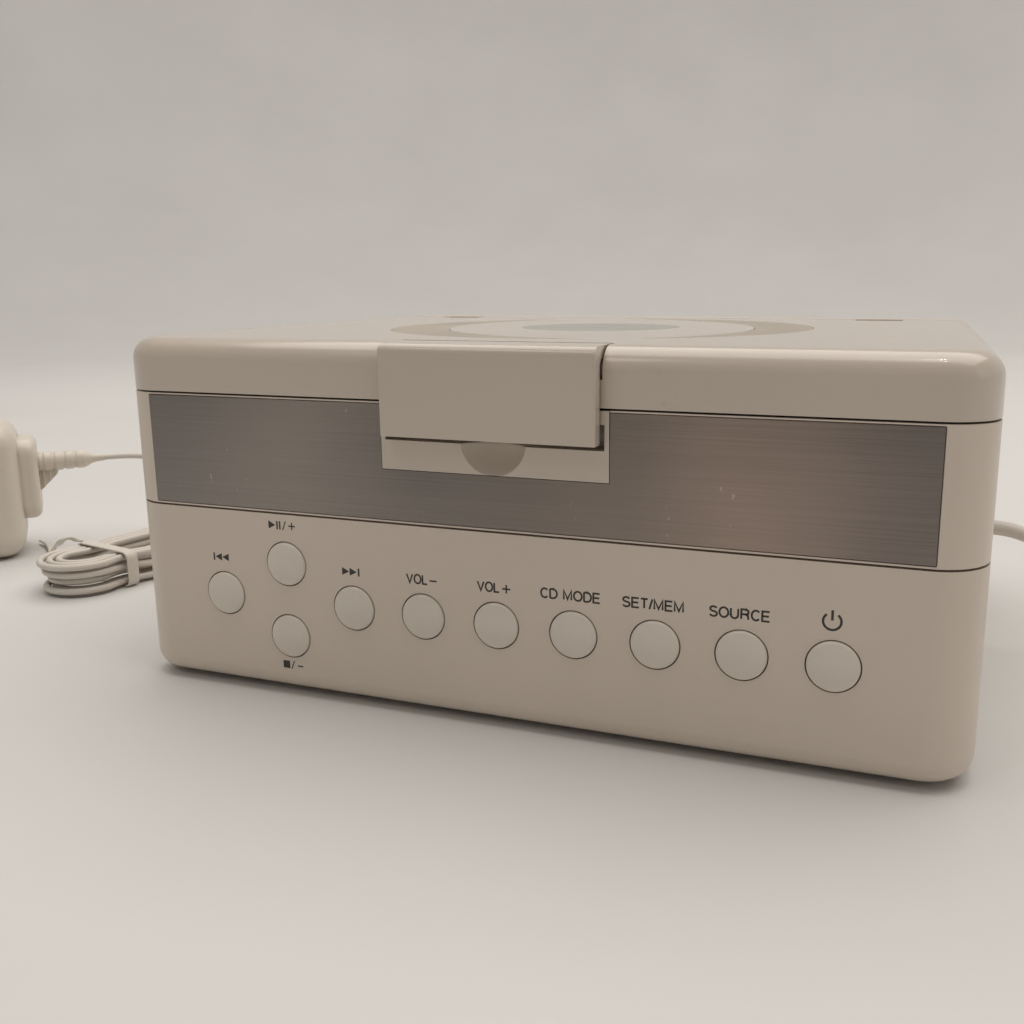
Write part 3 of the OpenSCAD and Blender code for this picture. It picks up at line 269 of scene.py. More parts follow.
def board():
    """Circuit board: green mask over copper runs, with tinned pads."""
    t = Tree("circuit_board")
    runs = t.node("ShaderNodeTexBrick")
    runs.inputs["Scale"].default_value = 210
    runs.inputs["Mortar Size"].default_value = 0.055
    t.link(t.place, runs.inputs["Vector"])
    mask = t.mix(runs.outputs["Fac"], (0.012, 0.11, 0.045), (0.03, 0.2, 0.08))
    pads = t.node("ShaderNodeTexVoronoi")
    pads.inputs["Scale"].default_value = 420
    t.link(t.place, pads.inputs["Vector"])
    pad = t.span(pads.outputs["Distance"], 1.0, 0.0, 0.1, 0.16)
    return t.finish(t.mix(pad, mask, (0.6, 0.6, 0.55)), t.span(pads.outputs["Distance"], 0.3, 0.5, 0.1, 0.5),
        t.bump(runs.outputs["Fac"], 0.3, 0.00005))


def window(name, colour, rough):
    """Clear moulding over a dark bay: deep gloss with hairline scratches, and painted shade darkening it near
    its edges and corners.
    """
    t = Tree(name)
    slow = t.noise(35, 3)
    hair = t.noise(1.0, 2, 0.5, t.scaled((900, 60, 60)))
    base = t.mix(t.span(slow, 0.0, 1.0), tone(colour, 0.85), tone(colour, 1.1))
    base = t.mix(t.span(hair, 0.0, 0.05, 0.66, 0.72), base, tone(colour, 1.4))
    # Painted shade: darker where ambient occlusion finds nearby parts
    base = t.mix(t.span(t.crevice(0.002), 0.4, 0.0, 0.4, 0.95), base, tone(colour, 0.35))
    return t.finish(base, t.span(slow, rough, rough + 0.08), t.bump(hair, 0.03, 0.00002))


def ink():
    t = Tree("printed_ink")
    fine = t.noise(2600, 4, 0.7)
    base = t.mix(t.span(fine, 0.0, 0.5, 0.45, 0.75), (0.03, 0.027, 0.024), (0.1, 0.09, 0.08))
    return t.finish(base, t.span(fine, 0.42, 0.6), t.bump(fine, 0.1, 0.00001))


CASE = (0.63, 0.549, 0.469)
MATERIALS = {
    # case_white and lid_white are one plastic at two tones: the lighter case is painted light on its front,
    # and the darker lid is painted shade on the lid's front
    "case_white": plastic("case_white", tone(CASE, 1.06), 0.36, Coat_Weight=0.15, Coat_Roughness=0.2),
    "lid_white": plastic("lid_white", tone(CASE, 0.93), 0.3, grain=0.03, Coat_Weight=0.6, Coat_Roughness=0.1),
    "button_white": plastic("button_white", (0.7, 0.645, 0.57), 0.3, grain=0.05, seams=False),
    "inner_white": plastic("inner_white", tone(CASE, 0.97), 0.46, grain=0.25),
    "brushed_plate": brushed(),
    "black_rubber": rubber("black_rubber", (0.022, 0.021, 0.02)),
    "black_plastic": plastic("black_plastic", (0.03, 0.03, 0.032), 0.4, grain=0.3, seams=False,
        gain=(0.8, 1.4)),
    "speaker_paper": paper(),
    "bright_steel": metal("bright_steel", (0.56, 0.56, 0.57), 0.28, (400, 400, 40)),
    "circuit_board": board(),
    "window_tint": window("window_tint", (0.27, 0.275, 0.225), 0.1),
    "crescent_tint": window("crescent_tint", (0.43, 0.37, 0.3), 0.3),
    "lens_glass": window("lens_glass", (0.05, 0.07, 0.16), 0.04),
    "gear_plastic": plastic("gear_plastic", (0.72, 0.7, 0.62), 0.42, seams=False),
    "brass_pinion": metal("brass_pinion", (0.62, 0.44, 0.2), 0.3),
    "lead_white": plastic("lead_white", (0.66, 0.61, 0.55), 0.42, grain=0.1),
    "tie_white": plastic("tie_white", (0.68, 0.63, 0.56), 0.5, grain=0.3, seams=False),
    "adapter_white": plastic("adapter_white", (0.7, 0.635, 0.555), 0.33),
    "nickel_pins": metal("nickel_pins", (0.6, 0.57, 0.52), 0.18, (40, 400, 400)),
    "printed_ink": ink(),
    "seam_shade": plastic("seam_shade", (0.3, 0.235, 0.19), 0.6, grain=0.2, seams=False),
}


# Pieces
def add_piece(name, data, body, finish):
    made = bpy.data.objects.new(name, data)
    scene.collection.objects.link(made)
    data.materials.clear()
    data.materials.append(MATERIALS[finish])
    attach(made, body)
    return made


def mesh_piece(name, verts, faces, body, finish, smooth=True):
    data = bpy.data.meshes.new(name)
    data.from_pydata([tuple(v) for v in verts], [], faces)
    data.polygons.foreach_set("use_smooth", [smooth] * len(faces))
    data.validate()
    return add_piece(name, data, body, finish)


def bm_piece(name, bm, body, finish, smooth=True):
    data = bpy.data.meshes.new(name)
    bmesh.ops.recalc_face_normals(bm, faces=bm.faces)
    bm.to_mesh(data)
    bm.free()
    data.polygons.foreach_set("use_smooth", [smooth] * len(data.polygons))
    return add_piece(name, data, body, finish)


def soften(made, width, segments=2, angle=32, flat=True):
    """Rounds the sharp edges of a piece or a CAD node, and evens its shading."""
    weld = made.modifiers.new("weld", "WELD")
    weld.merge_threshold = 0.000002
    if flat:
        merge = made.modifiers.new("flat", "DECIMATE")
        merge.decimate_type = "DISSOLVE"
        merge.angle_limit = math.radians(0.4)
    edge = made.modifiers.new("edge", "BEVEL")
    edge.width = width * MM
    edge.segments = segments
    edge.limit_method = "ANGLE"
    edge.angle_limit = math.radians(angle)
    edge.miter_outer = "MITER_ARC"
    even = made.modifiers.new("even", "WEIGHTED_NORMAL")
    even.weight = 60
    even.keep_sharp = True


def ring_faces(rings, sides):
    """Quads from each ring of so many points to the one after it."""
    pairs = [(k, (k + 1) % sides) for k in range(sides)]
    return [(i * sides + a, i * sides + b, (i + 1) * sides + b, (i + 1) * sides + a)
        for i in rings for a, b in pairs]


def turned(profile, sides=40):
    """Verts and faces of a profile of (radius, height) turned about Z."""
    verts = [(r * math.cos(2 * math.pi * k / sides), r * math.sin(2 * math.pi * k / sides), h)
        for r, h in profile for k in range(sides)]
    return verts, ring_faces(range(len(profile) - 1), sides)


def arc_bar(r0, r1, z0, z1, a0, a1, steps=36):
    """Bar with a square section bent round Z from one angle to another."""
    verts = []
    for i in range(steps + 1):
        a = math.radians(a0 + (a1 - a0) * i / steps)
        verts += [(r * math.cos(a), r * math.sin(a), z) for r, z in ((r0, z0), (r1, z0), (r1, z1), (r0, z1))]
    faces = ring_faces(range(steps), 4)
    if (a1 - a0) % 360:
        faces += [(3, 2, 1, 0), tuple(4 * steps + k for k in range(4))]
    return verts, faces


def prism(outline, t0, t1, place):
    """An outline pushed out from t0 to t1; place(u, v, t) says where each point lies."""
    n = len(outline)
    verts = [place(u, v, t) for t in (t0, t1) for u, v in outline]
    faces = [tuple(range(n - 1, -1, -1)), tuple(range(n, 2 * n))]
    return verts, faces + [(k, (k + 1) % n, n + (k + 1) % n, n + k) for k in range(n)]


def joined(parts):
    verts, faces = [], []
    for v, f in parts:
        base = len(verts)
        verts += [mm(p) for p in v]
        faces += [tuple(base + k for k in face) for face in f]
    return verts, faces


def fitting(name, parts, body, finish, width=0.0, smooth=True):
    verts, faces = joined(parts)
    bm = bmesh.new()
    made = [bm.verts.new(v) for v in verts]
    for face in faces:
        bm.faces.new([made[k] for k in face])
    piece = bm_piece(name, bm, body, finish, smooth)
    if width:
        soften(piece, width)
    return piece


# Pieces with rows of slots, whose flat faces stay cut up so that they don't tear
SLOTTED = ("rear_shell", "speaker_frames")


def dress(node, finish, width=0.0, segments=2):
    made = nodes[node]
    made.data.materials.clear()
    made.data.materials.append(MATERIALS[finish])
    if width:
        made.data.polygons.foreach_set("use_smooth", [True] * len(made.data.polygons))
        soften(made, width, segments, flat=node not in SLOTTED)


# Cords, with their points in millimetres
TURN_GAP = 0.6
LAYER_GAP = 0.5
WAIST_X = 8.0
WAIST_IN = 1.6
TIE_T = 0.7
TIE_HALF_W = 2.0
LEAD_D = 2.2
WIRE_D = 1.8
# Hanks: centre, turn in degrees, cord, half length, inner radius, layers
LEAD_HANK = ((-168, -9), -102, LEAD_D, 16.5, 6.6, 4)
AERIAL_HANK = ((150, 40), 86, WIRE_D, 20, 5.4, 2)
RELIEF = [(-105, 30, 20), (-111, 29.8, 19.8), (-117, 29.6, 18.6)]
RUN = [(-117, 29.6, 18.6), (-126, 30.6, 13), (-134, 31, 6.6), (-141, 29, 2.4), (-147.5, 22, 1.6)]
TAIL = [(-178, 22, 7.4), (-177.5, 34, 2.4), (-175, 46, 1.2), (-171, 56, 1.2), (-172, 65, 1.2),
    (-179, 68, 2.2), (-185, 62.5, 8), (-188.5, 55.5, 16.5), (-192, 48.5, 25), (-197, 41, 30.6),
    (-203.3, 34, 32.6)]
BOOT = (-210, 26.5, 33)
BOOT_TURN = 46.6
TIE_TAIL = [(-182.9, -14, 11.8), (-188, -15, 12.6), (-195, -13, 9.6), (-202, -9, 5.4), (-210, -3, 2.4),
    (-218, 4, 1.2), (-225, 9, 1.2), (-232, 12, 1.2)]
GLAND = [(103, 2.8, 36.2), (109.5, 2.8, 35.6), (116, 2.8, 33.6)]
AERIAL_RUN = [(116, 2.8, 33.6), (124, 3.6, 29), (131, 7, 20.5), (135.5, 12, 10), (137.4, 17, 3.4)]
AERIAL_TAIL = [(159.3, 8, 2.6), (157.6, -2, 1), (152.6, -10, 1), (145, -14, 1), (137, -15, 1)]


def smooth_path(points, steps):
    p = [Vector(q) for q in points]
    out = []
    for i in range(len(p) - 1):
        a, b, c, d = p[max(i - 1, 0)], p[i], p[i + 1], p[min(i + 2, len(p) - 1)]
        for k in range(steps):
            t = k / steps
            out.append(0.5 * (2 * b + (c - a) * t + (2 * a - 5 * b + 4 * c - d) * t * t
                + (3 * b - a - 3 * c + d) * t ** 3))
    out.append(p[-1])
    return out


def hank_path(hank, per_turn=48):
    (cx, cy), turn, d, half, inner, layers = hank
    c, s = math.cos(math.radians(turn)), math.sin(math.radians(turn))
    out = []
    for k in range(-per_turn // 6, int(per_turn * (2 * layers + 0.5)) + 1):
        t = k / per_turn
        q = (t % 1) * 24
        if t < 0:
            out_by = 2 - t
        elif t > 2 * layers - 2:
            out_by = t - 2 * layers + 2
        else:
            out_by = abs(t % 4 - 2)
        r = inner + (d + TURN_GAP) * out_by
        if q <= 8:
            a = math.radians(22.5 * q - 90)
            x, y = half + r * math.cos(a), r * math.sin(a)
        elif q < 12:
            x, y = half * (1 - (q - 8) / 2), r
        elif q <= 20:
            a = math.radians(22.5 * q - 180)
            x, y = -half + r * math.cos(a), r * math.sin(a)
        else:
            x, y = half * ((q - 20) / 2 - 1), -r
        y -= math.copysign(WAIST_IN * max(0.0, 1 - ((x - WAIST_X) / (half - WAIST_X)) ** 2), y)
        z = TIE_T + d / 2 + 0.2 + (d + LAYER_GAP) * sum(
            max(0.0, min(1.0, (t - 2 * j) * 6 + 1)) for j in range(1, layers))
        out.append(Vector((cx + x * c + y * s, cy + x * s - y * c, z)))
    return out


def tube_curve(name, points, diameter, body, finish):
    data = bpy.data.curves.new(name, "CURVE")
    data.dimensions = "3D"
    data.bevel_depth = diameter / 2 * MM
    data.bevel_resolution = 4
    data.use_fill_caps = True
    spline = data.splines.new("POLY")
    spline.points.add(len(points) - 1)
    for point, p in zip(spline.points, points):
        point.co = (*mm(p), 1.0)
    spline.use_smooth = True
    return add_piece(name, data, body, finish)


def swept(path, section):
    """Verts and faces of a closed section swept along a path; section(share) gives its 2-D points."""
    n = len(path)
    verts = []
    for i, p in enumerate(path):
        d = (path[min(i + 1, n - 1)] - path[max(i - 1, 0)]).normalized()
        side = d.cross(UP)
        side = side.normalized() if side.length > 1e-3 else Vector((1, 0, 0))
        up = side.cross(d).normalized()
        outline = section(i / (n - 1))
        m = len(outline)
        verts += [mm(p + side * u + up * v) for u, v in outline]
    faces = ring_faces(range(n - 1), m)
    faces += [tuple(range(m - 1, -1, -1)), tuple((n - 1) * m + k for k in range(m))]
    return verts, faces


def ring(radius, sides=20):
    return [(radius * math.cos(2 * math.pi * k / sides), radius * math.sin(2 * math.pi * k / sides))
        for k in range(sides)]


def ribbed(share, r0, r1, count, depth):
    """Radius of a ribbed relief at a share of its length."""
    phase = share * count % 1
    groove = 1 if 0.56 < phase < 0.94 and share < 0.93 else 0
    return r0 + (r1 - r0) * share - depth * groove


def relief_piece(name, points, r0, r1, finish, *cad, ribs=6):
    """Strain relief along a cord's first points, drawn in towards the cord at its end."""
    def section(share):
        return ring(ribbed(share, r0, r1, ribs, 0.3) * (1 - 0.4 * max(0, 12 * share - 11) ** 2))

    verts, faces = swept(smooth_path(points, 26), section)
    made = mesh_piece(name, verts, faces, "case", finish)
    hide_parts(*cad)
    return made


def flat_strip(half_w, half_t):
    """Section of a flat strip with rounded edges."""
    out = []
    for side in (1, -1):
        for k in range(5):
            a = math.radians(-90 + 45 * k) if side > 0 else math.radians(90 + 45 * k)
            out.append((side * (half_w - half_t) + half_t * math.cos(a), half_t * math.sin(a)))
    return out


def tie_loop(hank):
    """Points of a band round the waist of a hank, and the direction along the hank."""
    (cx, cy), turn, d, _, inner, layers = hank
    wide = inner + 2.5 * (d + TURN_GAP) - WAIST_IN + d / 2 + 0.3 + TIE_T / 2
    high = TIE_T + d / 2 + 0.2 + (layers - 1) * (d + LAYER_GAP) + d / 2 + 0.2 + TIE_T / 2
    c, s = math.cos(math.radians(turn)), math.sin(math.radians(turn))
    low, r = TIE_T / 2, min(2.4, (high - TIE_T / 2) / 2 - 0.1)
    flat = []
    for sx, sz, a0 in ((1, 0, -90), (1, 1, 0), (-1, 1, 90), (-1, 0, 180)):
        x0, z0 = sx * (wide - r), (high - r if sz else low + r)
        for k in range(7):
            a = math.radians(a0 + 15 * k)
            flat.append((x0 + r * math.cos(a), z0 + r * math.sin(a)))
    loop = [Vector((cx + WAIST_X * c - y * s, cy + WAIST_X * s + y * c, z)) for y, z in flat]
    return loop, Vector((c, s, 0))


def tie_band(name, hank, node):
    loop, along = tie_loop(hank)
    strip = flat_strip(TIE_HALF_W, TIE_T / 2)
    n, m = len(loop), len(strip)
    verts, faces = [], []
    for i, p in enumerate(loop):
        d = (loop[(i + 1) % n] - loop[i - 1]).normalized()
        out = d.cross(along).normalized()
        verts += [mm(p + along * u + out * v) for u, v in strip]
    for i in range(n):
        j = (i + 1) % n
        faces += [(i * m + k, i * m + (k + 1) % m, j * m + (k + 1) % m, j * m + k) for k in range(m)]
    made = mesh_piece(name, verts, faces, "case", "tie_white")
    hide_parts(node)
    return made


def adapter_grip():
    """Ribbed boot of the adapter, with the web under it."""
    profile = [(1.2, 0.0), (1.35, 0.3), (1.5, 2.6), (1.9, 4.4), (2.9, 6.2), (3.35, 7.2)]
    for k in range(4):
        at, r = 7.4 + 3.7 * k, 3.4 + 0.1 * k
        profile += [(r, at), (r + 0.05, at + 2.3), (r - 0.32, at + 2.7), (r - 0.32, at + 3.3)]
    profile += [(3.75, 22.2), (3.75, 23.2)]
    verts, faces = turned(profile)
    verts = [(-t, y, z) for z, y, t in verts]
    web = [(-23.2, -11), (-17, -5), (-16, -2.4), (-16, -1), (-23.2, -1)]
    parts = [(verts, faces), prism(web, -1.5, 1.5, lambda u, v, t: (u, t, v))]
    for k in range(3):
        u, drop = -21.9 + 2.1 * k, -9.8 + 2.1 * k
        parts.append(prism([(u, drop), (u + 0.8, drop + 0.8), (u + 0.8, -2), (u, -2)], -1.9, 1.9,
            lambda u, v, t: (u, t, v)))
    c, s = math.cos(math.radians(BOOT_TURN)), math.sin(math.radians(BOOT_TURN))
    parts = [([(BOOT[0] + x * c - y * s, BOOT[1] + x * s + y * c, BOOT[2] + z) for x, y, z in v], f)
        for v, f in parts]
    made = fitting("adapter_grip", parts, "case", "adapter_white", 0.18)
    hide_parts("adapter_boot")
    return made


def make_cords():
    hank = hank_path(LEAD_HANK)
    start = hank[0]
    path = smooth_path(RELIEF, 8)[:-1]
    path += smooth_path([*RUN, start], 6)[:-1] + hank[:-1] + smooth_path([hank[-1], *TAIL, BOOT], 6)
    lead = tube_curve("lead", path, LEAD_D, "case", "lead_white")
    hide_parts("lead_run", "lead_hank", "lead_tail")
    relief = relief_piece("lead_relief", RELIEF, 1.9, 1.25, "lead_white", "plug_relief")
    band = tie_band("lead_tie", LEAD_HANK, "hank_tie")

    def strip(share):
        """Flat strip of the tie's loose end, twisted near the knot and narrow at both ends."""
        a = math.radians(520 * min(1.0, share * 2.2))
        ends = min(1.0, 0.35 + 6 * min(share, 1 - share))
        return [(u * math.cos(a) - v * math.sin(a), u * math.sin(a) + v * math.cos(a))
            for u, v in flat_strip(ends, 0.42)]

    verts, faces = swept(smooth_path(TIE_TAIL, 8), strip)
    end = mesh_piece("lead_tie_tail", verts, faces, "case", "tie_white")
    adapter_grip()

    hank = hank_path(AERIAL_HANK)
    path = smooth_path(GLAND, 8)[:-1]
    path += smooth_path([*AERIAL_RUN, hank[0]], 6)[:-1] + hank[:-1]
    path += smooth_path([hank[-1], *AERIAL_TAIL], 6)
    wire = tube_curve("aerial_wire", path, WIRE_D, "case", "lead_white")
    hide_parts("aerial_run", "aerial_hank", "aerial_tail")
    gland = relief_piece("aerial_relief", [(97.8, 2.8, 36.2), (100.5, 2.8, 36.2), *GLAND], 2.0, 1.8,
        "lead_white", "aerial_gland", ribs=0)
    band = tie_band("aerial_tie_band", AERIAL_HANK, "aerial_tie")


make_cords()


# Finishes of the carried-over nodes
def dress_all():
    for node, finish, width in (
        ("rear_shell", "case_white", 0.3), ("mid_frame", "case_white", 0.3), ("lid_shell", "lid_white", 0.3),
        ("hinge_rail", "case_white", 0.3), ("latch", "lid_white", 0.9), ("catch_frame", "lid_white", 0.3),
        ("deck", "inner_white", 0.3), ("trim_plate", "brushed_plate", 0.15),
        ("crescent_windows", "crescent_tint", 0.15), ("centre_window", "window_tint", 0.2),
        ("adapter_body", "adapter_white", 0.4), ("adapter_pins", "nickel_pins", 0.5),
        ("rubber_feet", "black_rubber", 0.3),
        ("case_screws", "bright_steel", 0.15), ("circuit_boards", "circuit_board", 0.0),
        ("tact_switches", "black_plastic", 0.0), ("small_screws", "bright_steel", 0.15),
        ("board_parts", "black_plastic", 0.0), ("dc_jack", "black_plastic", 0.15),
        ("audio_jack", "black_plastic", 0.15), ("speaker_frames", "black_plastic", 0.2),
        ("speaker_cones", "speaker_paper", 0.0), ("mech_chassis", "bright_steel", 0.2),
        ("damper_bushes", "black_rubber", 0.2), ("spindle_motor", "bright_steel", 0.4),
        ("mech_rods", "bright_steel", 0.1), ("sled_motor", "bright_steel", 0.4),
        ("hinge_pins", "bright_steel", 0.1), ("latch_pin", "bright_steel", 0.1),
        ("latch_spring", "bright_steel", 0.0), ("spindle_shaft", "bright_steel", 0.1),
        ("turntable", "black_plastic", 0.2), ("turntable_pad", "black_rubber", 0.15),
        ("pickup_sled", "black_plastic", 0.2), ("objective_lens", "lens_glass", 0.0),
        ("drive_gear", "gear_plastic", 0.0), ("motor_pinion", "brass_pinion", 0.0),
        ("dc_plug", "lead_white", 0.3), ("aerial_tip", "lead_white", 0.3),
    ):
        dress(node, finish, width)
    for name in nodes:
        if name.startswith("button_"):
            dress(name, "button_white", 0.65, 4)


dress_all()


# Small mouldings and fittings
def cross_screw(x, y, z, radius, head, shaft, end):
    """A screw seen from below: a domed head with a cross recess, and its shaft."""
    sides, arm, reach, deep = 36, 0.16 * radius, 0.56 * radius, 0.42 * head + 0.4
    profile = [(radius * 0.86, z), (radius * 0.97, z + 0.16), (radius, z + 0.45), (radius, z + head),
        (shaft, z + head + 0.05), (shaft, end - 0.7), (shaft * 0.6, end), (0.001, end)]
    verts, faces = turned(profile, sides)
    verts = [(x + a, y + b, c) for a, b, c in verts]
    plus = [(arm, arm), (reach, arm), (reach, -arm), (arm, -arm), (arm, -reach), (-arm, -reach), (-arm, -arm),
        (-reach, -arm), (-reach, arm), (-arm, arm), (-arm, reach), (arm, reach)]
    plus = sorted(plus, key=lambda p: math.atan2(p[1], p[0]) % (2 * math.pi))
    top, low, m = len(verts), len(verts) + 12, len(plus)
    verts += [(x + a, y + b, z) for a, b in plus] + [(x + 0.8 * a, y + 0.8 * b, z + deep) for a, b in plus]
    verts.append((x, y, z + deep))
    angles = [math.atan2(b, a) % (2 * math.pi) for a, b in plus]
    i = k = 0
    while i < sides or k < m:
        outer = 2 * math.pi * (i + 1) / sides
        inner = angles[(k + 1) % m] + (2 * math.pi if k + 1 >= m else 0)
        if k >= m or (i < sides and outer <= inner):
            faces.append((i % sides, (i + 1) % sides, top + k % m))
            i += 1
        else:
            faces.append((i % sides, top + (k + 1) % m, top + k % m))
            k += 1
    for k in range(m):
        j = (k + 1) % m
        faces += [(top + k, top + j, low + j, low + k), (low + k, low + j, low + m)]
    return verts, faces


def rounded_tube(z0, z1, inset0, inset1):
    """Ring that follows the case's outline, between two insets from its face."""
    verts, faces, n = [], [], 40
    for i in range(n):
        q, a = divmod(i, n // 4)
        a = math.radians(90 * q + 90 * a / (n // 4 - 1))
        cx = (HALF_W - CORNER_R) * (1 if q in (0, 3) else -1)
        cy = MID + (HALF_D - CORNER_R) * (1 if q < 2 else -1)
        verts += [(cx + (CORNER_R - d) * math.cos(a), cy + (CORNER_R - d) * math.sin(a), z)
            for d, z in ((inset1, z0), (inset0, z0), (inset0, z1), (inset1, z1))]
        j = (i + 1) % n
        faces += [(4 * i + k, 4 * i + (k + 1) % 4, 4 * j + (k + 1) % 4, 4 * j + k) for k in range(4)]
    return verts, faces


def make_fittings():
    dx, dy = SCREW_AT
    corners = [(sx * dx, MID + sy * dy) for sx in (-1, 1) for sy in (-1, 1)]
    screws = [cross_screw(x, y, 2.0, 3.0, 2.1, 1.5, 57.9) for x, y in corners]
    heads = fitting("case_screw_set", screws, "case", "bright_steel", smooth=False)
    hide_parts("case_screws")

    claw = [(4.95, 0.35), (6.5, 0.35), (7.35, 1.2), (7.35, 1.9), (6.3, 3.1), (4.95, 3.5)]
    claw = [(r, DISC_Z + z) for r, z in claw]
    parts = []
    for turn in (0, 120, 240):
        c, s = math.cos(math.radians(turn)), math.sin(math.radians(turn))
        parts.append(prism(claw, -1.25, 1.25, lambda r, z, t, c=c, s=s: (r * c - t * s, r * s + t * c, z)))
    fitting("hub_claws", parts, "disc_drive", "gear_plastic", 0.25)

    yoke = [(-5.4, 54.6), (5.4, 54.6), (5.4, 58.6), (4.4, 59.4), (-4.4, 59.4), (-5.4, 58.6)]
    base = [(-5.9, 17.1), (5.9, 17.1), (5.9, 28.9), (-5.9, 28.9)]
    plates = [prism(yoke, t, t + 1.1, lambda u, v, t: (u, t, v)) for t in (17.1, 27.8)]
    plates.append(prism(base, 54.5, 55.2, lambda u, v, t: (u, v, t)))
    fitting("lens_yokes", plates, "pickup", "bright_steel", 0.2)
    verts, faces = turned([(4.42, 57.4), (4.42, 57.2), (4.8, 57.2), (4.85, 57.4), (4.85, 60.2), (4.8, 60.4),
        (4.42, 60.4), (4.42, 57.4)])
    fitting("lens_coil", [([(a, b + LENS_Y, c) for a, b, c in verts], faces)], "pickup", "brass_pinion")

    ribs = [arc_bar(r, r + 1.2, 82.3, 84.05, 0, 360, 72) for r in (28, 52)]
    for turn in range(0, 360, 45):
        c, s = math.cos(math.radians(turn + 22.5)), math.sin(math.radians(turn + 22.5))
        ribs.append(prism([(29, -0.55), (52.2, -0.55), (52.2, 0.55), (29, 0.55)], 82.6, 84.05,
            lambda u, v, t, c=c, s=s: (u * c - v * s, u * s + v * c, t)))
    fitting("lid_ribs", ribs, "lid", "inner_white", 0.2)
    # Lip inside the mid seam, in dark brown: painted shade in the seam
    fitting("seam_lip", [rounded_tube(45.2, 46.2, 1.0, 1.8)], "case", "seam_shade")

    low, high = WELL_FLOOR - 0.1, WELL_FLOOR + 0.5
    arcs = ((24, 1, 118, 422), (40, 0.9, 108, 432), (57.4, 0.9, 102, 168), (57.4, 0.9, 192, 348),
        (57.4, 0.9, 12, 78))
    rings = [arc_bar(r, r + wide, low, high, a0, a1) for r, wide, a0, a1 in arcs]
    fitting("well_rings", rings, "case", "inner_white", 0.2)
    verts, faces = turned([(1.95, 0.0), (2.05, 0.28), (2.3, 0.35), (2.75, 0.35), (2.9, 0.2), (2.9, -0.5),
        (1.95, -0.5), (1.95, 0.0)])
    x, y, z = AUDIO_JACK
    verts = [(x + c, y + a, z + b) for a, b, c in verts]
    fitting("audio_socket_ring", [(verts, faces)], "case", "nickel_pins")


make_fittings()


# Printed legends
INK_Y = FRONT - 0.012


def ink_piece(name, polygons):
    """Flat shapes printed on the front face, each a list of X and Z in millimetres."""
    bm = bmesh.new()
    for shape in polygons:
        bm.faces.new([bm.verts.new(mm((x, INK_Y, z))) for x, z in shape])
    bmesh.ops.recalc_face_normals(bm, faces=bm.faces)
    data = bpy.data.meshes.new(name)
    bm.to_mesh(data)
    bm.free()
    return add_piece(name, data, "case", "printed_ink")


def arc(cx, cz, rx, rz, a0, a1, steps=14):
    return [(cx + rx * math.cos(math.radians(a0 + (a1 - a0) * k / steps)),
        cz + rz * math.sin(math.radians(a0 + (a1 - a0) * k / steps))) for k in range(steps + 1)]


# Strokes of the capitals, each on a box of its own width and a height of 1
LETTERS = {
    "C": (0.94, [arc(0.5, 0.5, 0.43, 0.5, 42, 318, 24)]),
    "D": (0.92, [[(0.05, 0), (0.05, 1)],
        [(0.05, 1), (0.4, 1), *arc(0.4, 0.5, 0.46, 0.5, 90, -90), (0.05, 0)]]),
    "E": (0.84, [[(0.78, 1), (0.05, 1), (0.05, 0), (0.8, 0)], [(0.05, 0.52), (0.72, 0.52)]]),
    "L": (0.74, [[(0.05, 1), (0.05, 0), (0.7, 0)]]),
    "M": (1.02, [[(0.05, 0), (0.05, 1), (0.49, 0.06), (0.93, 1), (0.93, 0)]]),
    "O": (1.0, [arc(0.5, 0.5, 0.46, 0.5, 0, 360, 32)]),
    "R": (0.9, [[(0.05, 0), (0.05, 1), (0.5, 1), *arc(0.5, 0.75, 0.29, 0.25, 90, -90, 10), (0.05, 0.5)],
        [(0.5, 0.5), (0.72, 0.4), (0.78, 0.06), (0.84, 0)]]),
    "S": (0.86, [[*arc(0.42, 0.76, 0.34, 0.24, 20, 250, 14), (0.5, 0.48),
        *arc(0.42, 0.25, 0.37, 0.26, 70, -162, 14)]]),
    "T": (0.82, [[(0.02, 1), (0.76, 1)], [(0.39, 1), (0.39, 0)]]),
    "U": (0.94, [[(0.06, 1), (0.06, 0.36), *arc(0.44, 0.36, 0.38, 0.37, 180, 360, 14), (0.82, 1)]]),
    "V": (0.92, [[(0.02, 1), (0.44, 0), (0.86, 1)]]),
    "/": (0.42, [[(0.0, -0.04), (0.32, 1.04)]]),
    " ": (0.46, []),
}


def stroke(points, half):
    """Quads along a line of points, with mitred corners."""
    p = [Vector(q) for q in points]
    n, out = len(p), []
    for i, q in enumerate(p):
        a = (q - p[i - 1]).normalized() if i else (p[1] - q).normalized()
        b = (p[i + 1] - q).normalized() if i < n - 1 else a
        side = Vector((-a.y - b.y, a.x + b.x))
        side = side.normalized() if side.length > 1e-6 else Vector((-a.y, a.x))
        wide = half / max(0.45, side.dot(Vector((-a.y, a.x))))
        out.append((q + side * wide, q - side * wide))
    return [[out[i][0], out[i][1], out[i + 1][1], out[i + 1][0]] for i in range(n - 1)]


def words(name, text, x0, x1, z0, z1, half=0.21):
    """Words fitted to a place on the front face, drawn with strokes of one width."""
    scale = (x1 - x0) / sum(LETTERS[c][0] for c in text)
    high, at, shapes = z1 - z0 - 2 * half, x0, []
    for c in text:
        width, lines = LETTERS[c]
        for line in lines:
            shapes += stroke([(at + (0.86 * x + 0.04) * scale, z0 + half + z * high) for x, z in line], half)
        at += width * scale
    return ink_piece(name, shapes)


def bar(x, z, w, h):
    return [(x - w / 2, z - h / 2), (x + w / 2, z - h / 2), (x + w / 2, z + h / 2), (x - w / 2, z + h / 2)]


def arrow(x, z, w, h, to=1):
    return [(x - to * w / 2, z - h / 2), (x + to * w / 2, z), (x - to * w / 2, z + h / 2)]


